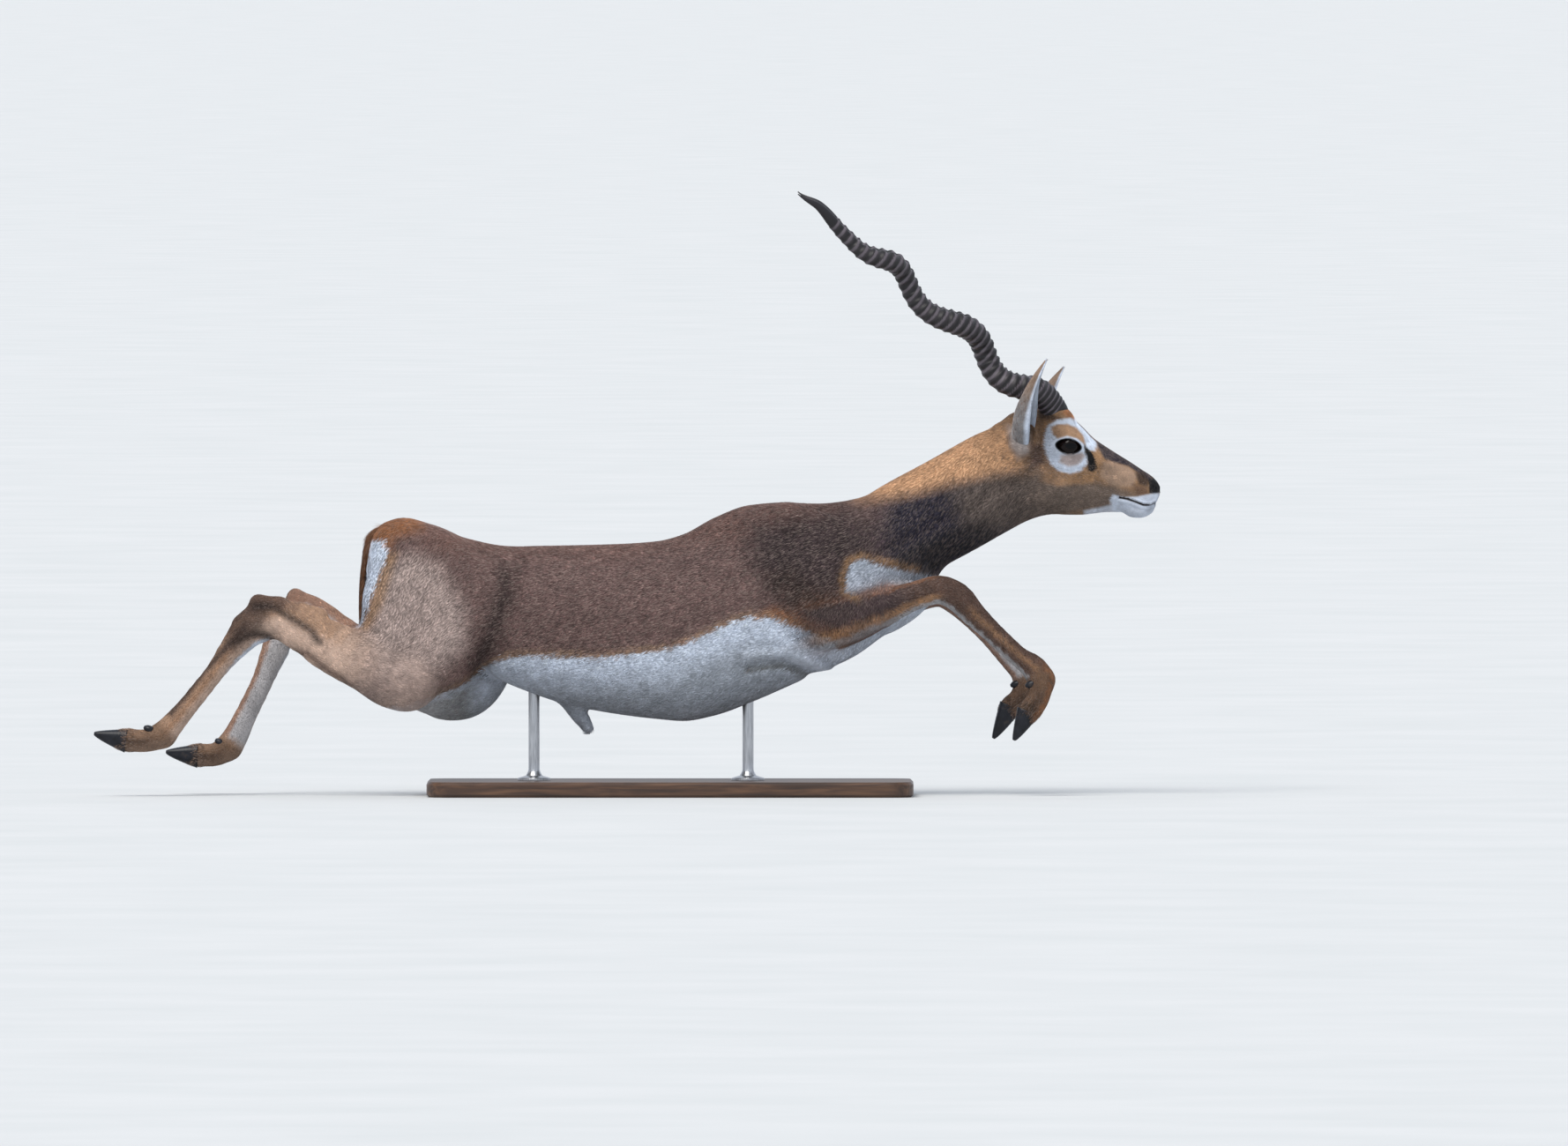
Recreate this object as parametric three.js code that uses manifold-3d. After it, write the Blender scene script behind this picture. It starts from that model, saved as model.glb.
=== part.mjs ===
// A life-size male blackbuck in full leap, held over a flat base by two short rods.
// Millimetres. +X runs towards the nose, +Y to the animal's left, +Z up from the floor;
// the origin is the centre of the base's underside.
import * as THREE from "three";
import { mergeVertices } from "three/addons/utils/BufferGeometryUtils.js";
import Module from "manifold-3d";

const wasm = await Module();
wasm.setup();

// Gap kept at a flat joint and round a socket.
const GAP = 0.3;
const SOCKET_GAP = 0.45;
// After a cut, edges shorter than "reach" are closed up where the skin moves less than "move".
const TIDY = { reach: 9, move: 0.12, moveByHooves: 0.03, sliver: 0.02 };

// The base and its rods.
const BASE = { length: 700, width: 280, thick: 22, corner: 30, bevel: 4 };
const ROD = { radius: 8, foot: 24, footHigh: 7, flare: 16, sunk: 34 };
const ROD_REAR = { x: -196, belly: 141 };
const ROD_FRONT = { x: 112, belly: 134 };

// The trunk, from the rump to the brisket: upper and lower outline and half width.
const TRUNK = [
  { x: -436, top: 345, bottom: 282, half: 30 },
  { x: -429, top: 377, bottom: 262, half: 52 },
  { x: -411, top: 395, bottom: 240, half: 68 },
  { x: -384, top: 402, bottom: 215, half: 80 },
  { x: -343, top: 392, bottom: 205, half: 88 },
  { x: -292, top: 372, bottom: 188, half: 90 },
  { x: -229, top: 361, bottom: 158, half: 91 },
  { x: -152, top: 362, bottom: 131, half: 98 },
  { x: -76, top: 364, bottom: 116, half: 104 },
  { x: -19, top: 368, bottom: 109, half: 106 },
  { x: 19, top: 378, bottom: 106, half: 105 },
  { x: 64, top: 402, bottom: 114, half: 101 },
  { x: 114, top: 420, bottom: 132, half: 96 },
  { x: 165, top: 424, bottom: 154, half: 90 },
  { x: 216, top: 422, bottom: 177, half: 82 },
  { x: 262, top: 420, bottom: 197, half: 70 },
  { x: 305, top: 400, bottom: 225, half: 58 },
  { x: 350, top: 360, bottom: 252, half: 43 },
  { x: 380, top: 325, bottom: 280, half: 22 },
];
// The head, from the poll to the tip of the nose.
const HEAD = [
  { x: 474, top: 532, bottom: 430, half: 30 },
  { x: 490, top: 549, bottom: 416, half: 37 },
  { x: 510, top: 557, bottom: 407, half: 44 },
  { x: 533, top: 560, bottom: 406, half: 47 },
  { x: 553, top: 557, bottom: 405, half: 49 },
  { x: 572, top: 549, bottom: 404, half: 49 },
  { x: 591, top: 534, bottom: 404, half: 44 },
  { x: 610, top: 515, bottom: 406, half: 36 },
  { x: 629, top: 502, bottom: 408, half: 30 },
  { x: 648, top: 490, bottom: 408, half: 26.5 },
  { x: 664, top: 480, bottom: 403, half: 24.5 },
  { x: 679, top: 470, bottom: 404, half: 23.5 },
  { x: 692, top: 461.5, bottom: 411, half: 21.5 },
  { x: 701, top: 453, bottom: 425, half: 16 },
  { x: 705, top: 446, bottom: 434, half: 8 },
];
// Chains of flesh: a centre line with a half depth in profile and a half width across.
// Each link between two rows is made as so many short ones.
const LINKS = 3;
const NECK = [
  { x: 262, z: 338, deep: 70.5, wide: 72.5 },
  { x: 300, z: 355, deep: 69.5, wide: 66.5 },
  { x: 342, z: 384, deep: 69.5, wide: 59.5 },
  { x: 403, z: 417, deep: 69.5, wide: 52.5 },
  { x: 463, z: 451, deep: 69.5, wide: 47.5 },
  { x: 514, z: 478, deep: 62.5, wide: 43.5 },
];
const FORELEG_RIGHT = [
  { x: 222, z: 247, y: 66, deep: 35.7, wide: 27.6 },
  { x: 273, z: 262, y: 70, deep: 29.7, wide: 22.6 },
  { x: 315, z: 275, y: 71, deep: 24.7, wide: 19.1 },
  { x: 357, z: 291, y: 69, deep: 20.2, wide: 16.6 },
  { x: 387, z: 298, y: 67, deep: 20.2, wide: 18.1 },
  { x: 412, z: 288, y: 66, deep: 20.7, wide: 18.1 },
  { x: 436, z: 263, y: 65, deep: 17.7, wide: 14.6 },
  { x: 470, z: 231, y: 63, deep: 15.2, wide: 11.6 },
  { x: 502, z: 202, y: 62, deep: 15.2, wide: 11.6 },
  { x: 524, z: 184, y: 61, deep: 18.2, wide: 14.6 },
  { x: 534, z: 168, y: 61, deep: 19.2, wide: 16.6 },
];
const FORELEG_LEFT = [
  { x: 216, z: 240, y: 66, deep: 35.7, wide: 27.6 },
  { x: 273, z: 255, y: 70, deep: 29.7, wide: 22.6 },
  { x: 317, z: 269, y: 71, deep: 24.7, wide: 19.1 },
  { x: 358, z: 285, y: 69, deep: 20.2, wide: 16.6 },
  { x: 388, z: 292, y: 67, deep: 20.7, wide: 18.1 },
  { x: 411, z: 281, y: 66, deep: 20.7, wide: 18.1 },
  { x: 434, z: 259, y: 65, deep: 17.7, wide: 14.6 },
  { x: 466, z: 224, y: 63, deep: 15.2, wide: 11.6 },
  { x: 493, z: 192, y: 62, deep: 15.2, wide: 11.6 },
  { x: 508, z: 176, y: 61, deep: 17.2, wide: 14.6 },
  { x: 514, z: 164, y: 61, deep: 18.2, wide: 16.6 },
];
const HINDLEG_RIGHT = [
  { x: -378, z: 169, y: 72, deep: 46.7, wide: 34.6 },
  { x: -425, z: 187, y: 72, deep: 41.7, wide: 30.6 },
  { x: -476, z: 210, y: 69, deep: 37.7, wide: 25.6 },
  { x: -527, z: 236, y: 65, deep: 31.7, wide: 20.6 },
  { x: -562, z: 253, y: 63, deep: 28.7, wide: 18.6 },
  { x: -596, z: 247, y: 61, deep: 27.7, wide: 19.1 },
  { x: -625, z: 219, y: 60, deep: 20.7, wide: 16.1 },
  { x: -660, z: 173, y: 59, deep: 14.2, wide: 12.6 },
  { x: -692, z: 132, y: 58, deep: 14.2, wide: 12.6 },
  { x: -714, z: 106, y: 58, deep: 16.2, wide: 15.1 },
  { x: -729, z: 89, y: 58, deep: 18.2, wide: 17.1 },
];
const HINDLEG_LEFT = [
  { x: -328, z: 158, y: 72, deep: 48.7, wide: 34.6 },
  { x: -378, z: 172, y: 72, deep: 40.7, wide: 30.6 },
  { x: -436, z: 202, y: 69, deep: 32.7, wide: 25.6 },
  { x: -488, z: 235, y: 65, deep: 26.7, wide: 20.6 },
  { x: -522, z: 258, y: 63, deep: 25.7, wide: 18.6 },
  { x: -548, z: 252, y: 61, deep: 27.7, wide: 19.1 },
  { x: -567, z: 214, y: 60, deep: 20.7, wide: 16.1 },
  { x: -590, z: 159, y: 59, deep: 15.2, wide: 12.6 },
  { x: -613, z: 112, y: 58, deep: 15.7, wide: 12.6 },
  { x: -626, z: 85, y: 58, deep: 17.7, wide: 15.1 },
  { x: -636, z: 69, y: 58, deep: 18.7, wide: 17.1 },
];
// The heel bone behind each hock, with the tendon that runs up from it.
const HEEL_BONE = { deep: 13, wide: 12, tendonDeep: 15, tendonWide: 10 };
const HEEL_RIGHT = { x: -592, z: 279, up: { x: -505, z: 258 } };
const HEEL_LEFT = { x: -540, z: 285, up: { x: -470, z: 238 } };

// A foot: from the fetlock through the pastern to the coronet, and on to the claw's tip.
// "sole" is the way the claw's sole faces.
const DIGIT = { apart: 10.5, deep: 15, wide: 8.3 };
const FEET = {
  fore_right: {
    fetlock: { x: 535, z: 168 }, pastern: { x: 529, z: 141 },
    coronet: { x: 512, z: 117 }, tip: { x: 497, z: 80 },
    sole: { x: -0.93, z: 0.37 }, y: 61, side: -1, dewclaw: { x: 514, z: 160 },
  },
  fore_left: {
    fetlock: { x: 514, z: 164 }, pastern: { x: 507, z: 142 },
    coronet: { x: 487, z: 122 }, tip: { x: 468, z: 80 },
    sole: { x: -0.93, z: 0.37 }, y: 61, side: 1, dewclaw: { x: 493, z: 158 },
  },
  hind_right: {
    fetlock: { x: -729, z: 88 }, pastern: { x: -758, z: 80 },
    coronet: { x: -789, z: 82 }, tip: { x: -829, z: 88 },
    sole: { x: 0.1, z: 0.99 }, y: 58, side: -1, dewclaw: { x: -754, z: 99 },
  },
  hind_left: {
    fetlock: { x: -636, z: 68 }, pastern: { x: -660, z: 57 },
    coronet: { x: -688, z: 57 }, tip: { x: -727, z: 59 },
    sole: { x: 0.1, z: 0.99 }, y: 58, side: 1, dewclaw: { x: -653, z: 78 },
  },
};
const CLAW = { deep: 18, wide: 9.6, flatSole: 0.92, flatInner: 0.92, rings: 6, sides: 8, root: 7 };
const DEWCLAW = { radius: 5.5, long: 13, apart: 11 };

// The horns: straight distance from root to tip, the corkscrew about it and the ridges.
const HORN_ROOT = { x: 555, y: 26, z: 550 };
const HORN_TIP = { x: 184, y: 198, z: 868 };
const HORN = { turn: 152, firstCrest: 27, bow: 2.5, ridges: 37, ridgeFrom: 12, ridgeTo: 448, sides: 8 };
const HORN_RADIUS = [
  { at: -26, value: 7 }, { at: -8, value: 16.5 }, { at: 4, value: 19 }, { at: 60, value: 17.5 },
  { at: 140, value: 16 }, { at: 200, value: 16 },
  { at: 260, value: 14 }, { at: 350, value: 13.4 }, { at: 400, value: 10.2 },
  { at: 450, value: 8.2 }, { at: 485, value: 5.2 }, { at: 515, value: 0.9 },
];
const HORN_SWING = [
  { at: 0, value: 4 }, { at: 90, value: 15 }, { at: 190, value: 10 }, { at: 345, value: 12 },
  { at: 420, value: 4 }, { at: 480, value: 5 }, { at: 515, value: 0 },
];

// The ears: root and tip, the way the cup opens, and its size along its length.
const EAR = { thick: 2.4, rings: 10, across: 7 };
const EAR_RIGHT = { root: [504, -49, 504], tip: [541, -126, 628], open: [0.86, -0.5, -0.1] };
const EAR_LEFT = { root: [519, 48, 501], tip: [567, 122, 614], open: [0.93, 0.36, -0.2] };
const EAR_CUP = [
  { at: 0, radius: 8, half: 150 }, { at: 0.13, radius: 16.5, half: 130 },
  { at: 0.35, radius: 21, half: 104 }, { at: 0.6, radius: 17.5, half: 92 },
  { at: 0.8, radius: 11.5, half: 84 }, { at: 0.93, radius: 6, half: 78 },
  { at: 1, radius: 2.2, half: 70 },
];

// The eyes, their lids and the gland in front of them.
const EYE = { x: 573, y: 37, z: 504, radius: 18 };
const EYE_OPENING = { x: 573, y: 56, z: 504, long: 18.5, high: 12, deep: 17, tilt: 8 };
const LID = { long: 17.5, high: 11, tilt: -8, thick: 2.6, stand: 1.2 };
const GLAND = { x: 606, z: 486, long: 11, wide: 3.2, deep: 5, tilt: 20 };
// The nose and mouth.
const NOSTRIL = { x: 697, y: 14, z: 446, long: 9.5, high: 6, deep: 7, tilt: 28 };
const MOUTH = [[647, 429], [659, 427], [671, 422.5], [682, 418.5], [691, 418.5], [697, 421]];
const LIPS = { groove: 1.4, lift: 3.4, thick: 3.6, out: -1.9 };
// The tail and the sheath under the belly.
const TAIL = [
  { x: -408, z: 384, deep: 10, wide: 16 }, { x: -426, z: 372, deep: 9, wide: 19 },
  { x: -437, z: 345, deep: 6, wide: 21 }, { x: -442, z: 305, deep: 5.5, wide: 21 },
  { x: -444, z: 270, deep: 4.5, wide: 15 }, { x: -445, z: 240, deep: 2, wide: 5 },
];
const SHEATH = [
  { x: -150, z: 142, deep: 12, wide: 12 }, { x: -132, z: 118, deep: 11, wide: 11 },
  { x: -119, z: 100, deep: 7.5, wide: 7.5 }, { x: -115, z: 91, deep: 3.5, wide: 3.5 },
];

// Colours and finish of each kind of surface.
const LOOK = {
  brown: { color: 0x5b473d, roughness: 0.85 },
  dark: { color: 0x3e3230, roughness: 0.85 },
  tan: { color: 0x9a7656, roughness: 0.85 },
  face: { color: 0x8a6a4e, roughness: 0.85 },
  horn: { color: 0x5d5254, roughness: 0.6 },
  hoof: { color: 0x17181c, roughness: 0.4 },
  eye: { color: 0x0a0a0c, roughness: 0.1 },
  ear: { color: 0xb09c88, roughness: 0.85 },
  steel: { color: 0xb5b7ba, roughness: 0.35, metalness: 1 },
  wood: { color: 0x3a2a20, roughness: 0.5 },
};

const vec = (x, y, z) => new THREE.Vector3(x, y, z);
const rad = THREE.MathUtils.degToRad;
const lerp = THREE.MathUtils.lerp;

// A smooth curve through (at, value) rows that never overshoots them.
function through(at, value) {
  const slope = at.slice(1).map((x, i) => (value[i + 1] - value[i]) / (x - at[i]));
  const tangent = at.map((_, i) => {
    if (i === 0 || i === at.length - 1) return slope[Math.min(i, slope.length - 1)];
    const [a, b] = [slope[i - 1], slope[i]];
    return a * b <= 0 ? 0 : (2 * a * b) / (a + b);
  });
  return (x) => {
    if (x <= at[0]) return value[0];
    if (x >= at.at(-1)) return value.at(-1);
    let i = 0;
    while (x > at[i + 1]) i++;
    const h = at[i + 1] - at[i];
    const t = (x - at[i]) / h;
    const u = 1 - t;
    return (
      value[i] * (1 + 2 * t) * u * u + tangent[i] * h * t * u * u +
      value[i + 1] * (3 - 2 * t) * t * t - tangent[i + 1] * h * t * t * u
    );
  };
}
const curveOf = (rows, key, along) => through(rows.map((r) => r[along]), rows.map((r) => r[key]));

// Forms are functions of a point, negative inside, close to the distance near the skin.
function sectioned(rows, { widest, above, below }) {
  const [top, bottom, half] = ["top", "bottom", "half"].map((key) => curveOf(rows, key, "x"));
  const [from, to] = [rows[0].x, rows.at(-1).x];
  return (x, y, z) => {
    const at = Math.min(Math.max(x, from), to);
    const [t, b] = [top(at), bottom(at)];
    const middle = b + widest * (t - b);
    const up = z > middle;
    const n = up ? above : below;
    const reach = up ? t - middle : middle - b;
    const q = Math.pow(Math.pow(Math.abs(y) / half(at), n) +
      Math.pow(Math.abs(z - middle) / reach, n), 1 / n);
    const r = Math.hypot(y, z - middle);
    const inPlane = q > 1e-6 ? r * (1 - 1 / q) : -reach;
    return x === at ? inPlane : Math.hypot(Math.max(inPlane, 0), x - at);
  };
}
// More rows between those given, on smooth curves, so that a limb bends and tapers evenly.
function refined(rows) {
  const along = [0];
  rows.slice(1).forEach((b, i) => along.push(along[i] + Math.hypot(b.x - rows[i].x, b.z - rows[i].z)));
  const curves = ["x", "z", "y", "deep", "wide"].map((key) =>
    [key, through(along, rows.map((row) => row[key] ?? 0))]);
  const stops = along.slice(1).flatMap((b, i) =>
    Array.from({ length: LINKS }, (_, k) => lerp(along[i], b, k / LINKS)));
  return [...stops, along.at(-1)].map((at) =>
    Object.fromEntries(curves.map(([key, curve]) => [key, curve(at)])));
}
function chain(given, side, soft) {
  const rows = refined(given);
  const links = rows.slice(1).map((b, i) => {
    const a = rows[i];
    const long = Math.hypot(b.x - a.x, b.z - a.z);
    return { a, b, long, ux: (b.x - a.x) / long, uz: (b.z - a.z) / long };
  });
  return (x, y, z) => {
    let best = Infinity;
    for (const { a, b, long, ux, uz } of links) {
      const along = (x - a.x) * ux + (z - a.z) * uz;
      const t = Math.min(Math.max(along / long, 0), 1);
      const dy = y - side * lerp(a.y, b.y, t);
      const inPlane = Math.hypot(x - a.x - ux * t * long, z - a.z - uz * t * long);
      const [deep, wide] = [lerp(a.deep, b.deep, t), lerp(a.wide, b.wide, t)];
      const q = Math.hypot(inPlane / deep, dy / wide);
      const r = Math.hypot(inPlane, dy);
      best = softMin(best, q > 1e-6 ? r * (1 - 1 / q) : -wide, soft);
    }
    return best;
  };
}
function ball(at, radii, tilt = 0) {
  const [c, s] = [Math.cos(rad(tilt)), Math.sin(rad(tilt))];
  return (x, y, z) => {
    const [dx, dy, dz] = [x - at[0], y - at[1], z - at[2]];
    const [u, v] = [dx * c + dz * s, dz * c - dx * s];
    const q = Math.hypot(u / radii[0], dy / radii[1], v / radii[2]);
    const r = Math.hypot(u, dy, v);
    return q > 1e-6 ? r * (1 - 1 / q) : -Math.min(...radii);
  };
}
function softMin(a, b, soft) {
  if (a === Infinity) return b;
  const h = Math.max(soft - Math.abs(a - b), 0) / soft;
  return Math.min(a, b) - (h * h * soft) / 4;
}
const together = (soft, ...forms) => (x, y, z) =>
  forms.reduce((best, form) => softMin(best, form(x, y, z), soft), Infinity);
const bothSides = (form) => (x, y, z) => form(x, Math.abs(y), z);

// The muscles and bones that show through the coat.
const trunk = together(
  34,
  sectioned(TRUNK, { widest: 0.52, above: 2.05, below: 2.25 }),
  bothSides(ball([205, 62, 330], [74, 26, 96], 62)),
  bothSides(ball([262, 60, 262], [64, 26, 42], 18)),
  bothSides(ball([150, 52, 375], [60, 24, 40], 20)),
  bothSides(ball([-345, 52, 330], [72, 36, 52], -30)),
);
const thighRight = together(
  26,
  ball([-352, -54, 262], [92, 42, 112], 12),
  ball([-318, -62, 232], [58, 34, 84], -32),
  ball([-404, -60, 192], [54, 34, 66], 20),
);
const thighLeft = together(
  26,
  ball([-338, 54, 258], [98, 42, 112], 4),
  ball([-298, 60, 204], [75, 36, 98], -10),
  ball([-386, 60, 214], [56, 34, 62], 34),
);
function heelBone(heel, side) {
  const y = 62;
  const rows = [
    { x: heel.x, z: heel.z, y, deep: HEEL_BONE.deep, wide: HEEL_BONE.wide },
    { x: heel.up.x, z: heel.up.z, y: y + 3, deep: HEEL_BONE.tendonDeep, wide: HEEL_BONE.tendonWide },
  ];
  return chain(rows, side, 8);
}
const LIMB_SOFT = 5;
const NECK_SOFT = 12;
const legForms = {
  fore_right: chain(FORELEG_RIGHT, -1, LIMB_SOFT),
  fore_left: chain(FORELEG_LEFT, 1, LIMB_SOFT),
  hind_right: together(12, chain(HINDLEG_RIGHT, -1, LIMB_SOFT), heelBone(HEEL_RIGHT, -1)),
  hind_left: together(12, chain(HINDLEG_LEFT, 1, LIMB_SOFT), heelBone(HEEL_LEFT, 1)),
};
// The two toes of a foot, down to the coronet.
function toes(foot) {
  const one = (sign) => {
    const y = foot.y + sign * DIGIT.apart;
    const rows = [
      { ...foot.fetlock, y: foot.y + sign * 4, deep: 17, wide: 14 },
      { ...foot.pastern, y: foot.y + sign * 7.5, deep: 14.5, wide: 10.5 },
      { ...foot.coronet, y, deep: DIGIT.deep, wide: DIGIT.wide },
    ];
    return chain(rows, foot.side, 6);
  };
  return together(3, one(-1), one(1));
}
const footForms = Object.fromEntries(
  Object.entries(FEET).map(([name, foot]) => [name, together(6, legForms[name], toes(foot))]),
);
const skull = together(
  12,
  sectioned(HEAD, { widest: 0.62, above: 2.2, below: 1.9 }),
  bothSides(ball([571, 29, 521], [30, 21, 14], -20)),
  bothSides(ball([572, 36, 504], [27, 19, 19], -8)),
  bothSides(ball([545, 32, 450], [34, 14, 34], 25)),
  bothSides(ball([606, 27, 492], [30, 11, 9], -34)),
  bothSides(ball([508, 44, 512], [20, 17, 23], -20)),
  bothSides(ball([558, 23, 547], [26, 20, 17], -30)),
  ball([678, 0, 411], [18, 16, 9], 8),
  bothSides(ball([682, 15, 434], [20, 9, 12], -20)),
);
const hips = together(22, trunk, thighRight, thighLeft);
const flesh = together(30, hips, together(22, chain(NECK, 1, NECK_SOFT), skull));
const body = together(16, hips, ...Object.values(footForms));
const whole = (x, y, z) => Math.min(flesh(x, y, z), body(x, y, z));

// Turns a closed surface's geometry into a solid with its faces pointing out.
function solidOf(geometry) {
  const bare = new THREE.BufferGeometry();
  bare.setAttribute("position", geometry.getAttribute("position"));
  bare.setIndex(geometry.index);
  const merged = mergeVertices(bare, 1e-3);
  const verts = merged.attributes.position.array;
  const index = merged.index.array;
  let volume = 0;
  for (let i = 0; i < index.length; i += 3) {
    const [a, b, c] = [0, 1, 2].map((k) => vec().fromArray(verts, index[i + k] * 3));
    volume += a.dot(b.cross(c));
  }
  const triVerts = new Uint32Array(index);
  if (volume < 0) triVerts.reverse();
  return new wasm.Manifold(
    new wasm.Mesh({ numProp: 3, vertProperties: new Float32Array(verts), triVerts }),
  );
}
const placed = (geometry, matrix) => solidOf(geometry.applyMatrix4(matrix));
function largest(solid, move = TIDY.move) {
  const pieces = solid.decompose();
  return closeShortEdges(pieces.reduce((a, b) => (b.volume() > a.volume() ? b : a)), move);
}
// Cuts leave slivers and needless points on flat faces, which this closes up.
function closeShortEdges(solid, most) {
  const mesh = solid.getMesh();
  const at = (v) => vec().fromArray(mesh.vertProperties, v * 3);
  const points = Array.from({ length: mesh.vertProperties.length / 3 }, (_, v) => at(v));
  const faces = Array.from({ length: mesh.triVerts.length / 3 }, (_, f) =>
    [...mesh.triVerts.subarray(f * 3, f * 3 + 3)]);
  const facesOf = points.map(() => new Set());
  faces.forEach((face, f) => face.forEach((v) => facesOf[v].add(f)));
  const around = (v) => new Set([...facesOf[v]].flatMap((f) => faces[f]).filter((u) => u !== v));
  const normal = ([a, b, c], moved, to) => {
    const [p, q, r] = [a, b, c].map((v) => points[v === moved ? to : v]);
    return vec().subVectors(q, p).cross(vec().subVectors(r, p));
  };
  const keepsShape = (gone, kept) => {
    const move = vec().subVectors(points[gone], points[kept]);
    return [...facesOf[gone]].filter((f) => !faces[f].includes(kept)).every((f) => {
      const [before, after] = [normal(faces[f], -1), normal(faces[f], gone, kept)];
      if (after.length() < TIDY.sliver) return false;
      const sliver = before.length() < TIDY.sliver;
      const turned = before.normalize().dot(after.normalize()) < 0.6;
      return Math.abs(move.dot(after)) < most && (sliver || !turned);
    });
  };
  let closed = 1;
  while (closed > 0) {
    closed = 0;
    points.forEach((point, gone) => {
      const near = [...around(gone)].filter((v) => points[v].distanceTo(point) < TIDY.reach);
      near.sort((a, b) => points[a].distanceTo(point) - points[b].distanceTo(point));
      for (const kept of near) {
        const shared = [...around(gone)].filter((v) => around(kept).has(v));
        if (shared.length !== 2 || !keepsShape(gone, kept)) continue;
        for (const f of facesOf[gone]) {
          if (faces[f].includes(kept)) faces[f].forEach((v) => v !== gone && facesOf[v].delete(f));
          else facesOf[kept].add(f);
          faces[f] = faces[f].map((v) => (v === gone ? kept : v));
        }
        facesOf[gone].clear();
        closed++;
        break;
      }
    });
  }
  const left = faces.filter(([a, b, c]) => a !== b && b !== c && c !== a);
  return solidOf(geometryOf(numbersOf(points), left.flat()));
}

// The corners, edges and faces of a cell. Corner n stands at (n & 4, n & 2, n & 1).
const BITS = [4, 2, 1];
const CORNERS = Array.from({ length: 8 }, (_, n) => BITS.map((bit) => (n & bit ? 1 : 0)));
const EDGES = CORNERS.flatMap((_, a) =>
  BITS.flatMap((bit, d) => (a & bit ? [] : [{ a, b: a | bit, id: a * 3 + d }])));
const FACES = BITS.flatMap((bit) =>
  [0, bit].map((side) => EDGES.filter(({ a, b }) => (a & bit) === side && (b & bit) === side)));
// The separate patches of skin in a cell, each as the list of the edges that it crosses.
function patchesOf(values) {
  const crossed = EDGES.filter(({ a, b }) => values[a] < 0 !== values[b] < 0);
  const patch = new Map(crossed.map((edge) => [edge, edge.id]));
  const join = (one, two) => {
    const [from, to] = [patch.get(two), patch.get(one)];
    for (const edge of crossed) if (patch.get(edge) === from) patch.set(edge, to);
  };
  for (const face of FACES) {
    const list = face.filter((edge) => patch.has(edge));
    if (list.length === 2) join(...list);
    if (list.length === 4)
      for (let n = 0; n < 8; n++) {
        const touching = list.filter(({ a, b }) => a === n || b === n);
        if (touching.length === 2 && values[n] < 0) join(...touching);
      }
  }
  const ids = [...new Set(patch.values())];
  return ids.map((id) => crossed.filter((edge) => patch.get(edge) === id));
}

// The skin of a form inside a box, as quads between the cells that it crosses.
// The box is turned in profile so that its first side runs along "along".
function skinOf(form, { from, along, cells, size, y }) {
  const turn = Math.hypot(...along);
  const [cu, su] = [along[0] / turn, along[1] / turn];
  const low = [size.back, size.low, y[0]];
  const count = [size.ahead - size.back, size.high - size.low, y[1] - y[0]]
    .map((long, i) => Math.ceil(long / cells[i]));
  const world = (u, v, w) => [from[0] + u * cu - v * su, w, from[1] + u * su + v * cu];
  const [nu, nv, nw] = count.map((n) => n + 1);
  const at = (i, j, k) => (i * nv + j) * nw + k;
  const edge = (i, n) => i === 0 || i === n - 1;
  const value = new Float32Array(nu * nv * nw);
  for (let i = 0; i < nu; i++)
    for (let j = 0; j < nv; j++)
      for (let k = 0; k < nw; k++) {
        const p = world(low[0] + i * cells[0], low[1] + j * cells[1], low[2] + k * cells[2]);
        const open = edge(i, nu) || edge(j, nv) || edge(k, nw);
        value[at(i, j, k)] = open ? Math.max(form(...p), 0.5) : form(...p);
      }
  const vertexOf = new Map();
  const positions = [];
  const settleBy = Math.min(...cells) * 0.4;
  for (let i = 0; i < nu - 1; i++)
    for (let j = 0; j < nv - 1; j++)
      for (let k = 0; k < nw - 1; k++) {
        const cell = at(i, j, k);
        const values = CORNERS.map(([a, b, c]) => value[at(i + a, j + b, k + c)]);
        for (const patch of patchesOf(values)) {
          const sum = [0, 0, 0];
          for (const { a, b, id } of patch) {
            const t = values[a] / (values[a] - values[b]);
            [i, j, k].forEach((base, d) => {
              sum[d] += low[d] + cells[d] * (base + lerp(CORNERS[a][d], CORNERS[b][d], t));
            });
            vertexOf.set(cell * 24 + id, positions.length / 3);
          }
          positions.push(...settle(form, world(...sum.map((s) => s / patch.length)), settleBy));
        }
      }
  const index = [];
  const step = [nv * nw, nw, 1];
  for (let i = 0; i < nu - 1; i++)
    for (let j = 0; j < nv - 1; j++)
      for (let k = 0; k < nw - 1; k++)
        for (let d = 0; d < 3; d++) {
          const [s, t] = [(d + 1) % 3, (d + 2) % 3];
          const place = [i, j, k];
          if (place[s] === 0 || place[t] === 0) continue;
          const here = at(i, j, k);
          const inside = value[here] < 0;
          if (inside === value[here + step[d]] < 0) continue;
          const quad = [[1, 1], [0, 1], [0, 0], [1, 0]].map(([back, down]) => {
            const cell = here - back * step[s] - down * step[t];
            return vertexOf.get(cell * 24 + (back * BITS[s] + down * BITS[t]) * 3 + d);
          });
          if (!inside) quad.reverse();
          index.push(...splitQuad(quad, positions));
        }
  return geometryOf(positions, index);
}
// Cuts a quad along its shorter diagonal.
function splitQuad([a, b, c, d], positions) {
  const far = (i, j) => vec().fromArray(positions, i * 3).distanceTo(vec().fromArray(positions, j * 3));
  return far(a, c) < far(b, d) ? [a, b, c, a, c, d] : [a, b, d, b, c, d];
}
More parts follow.
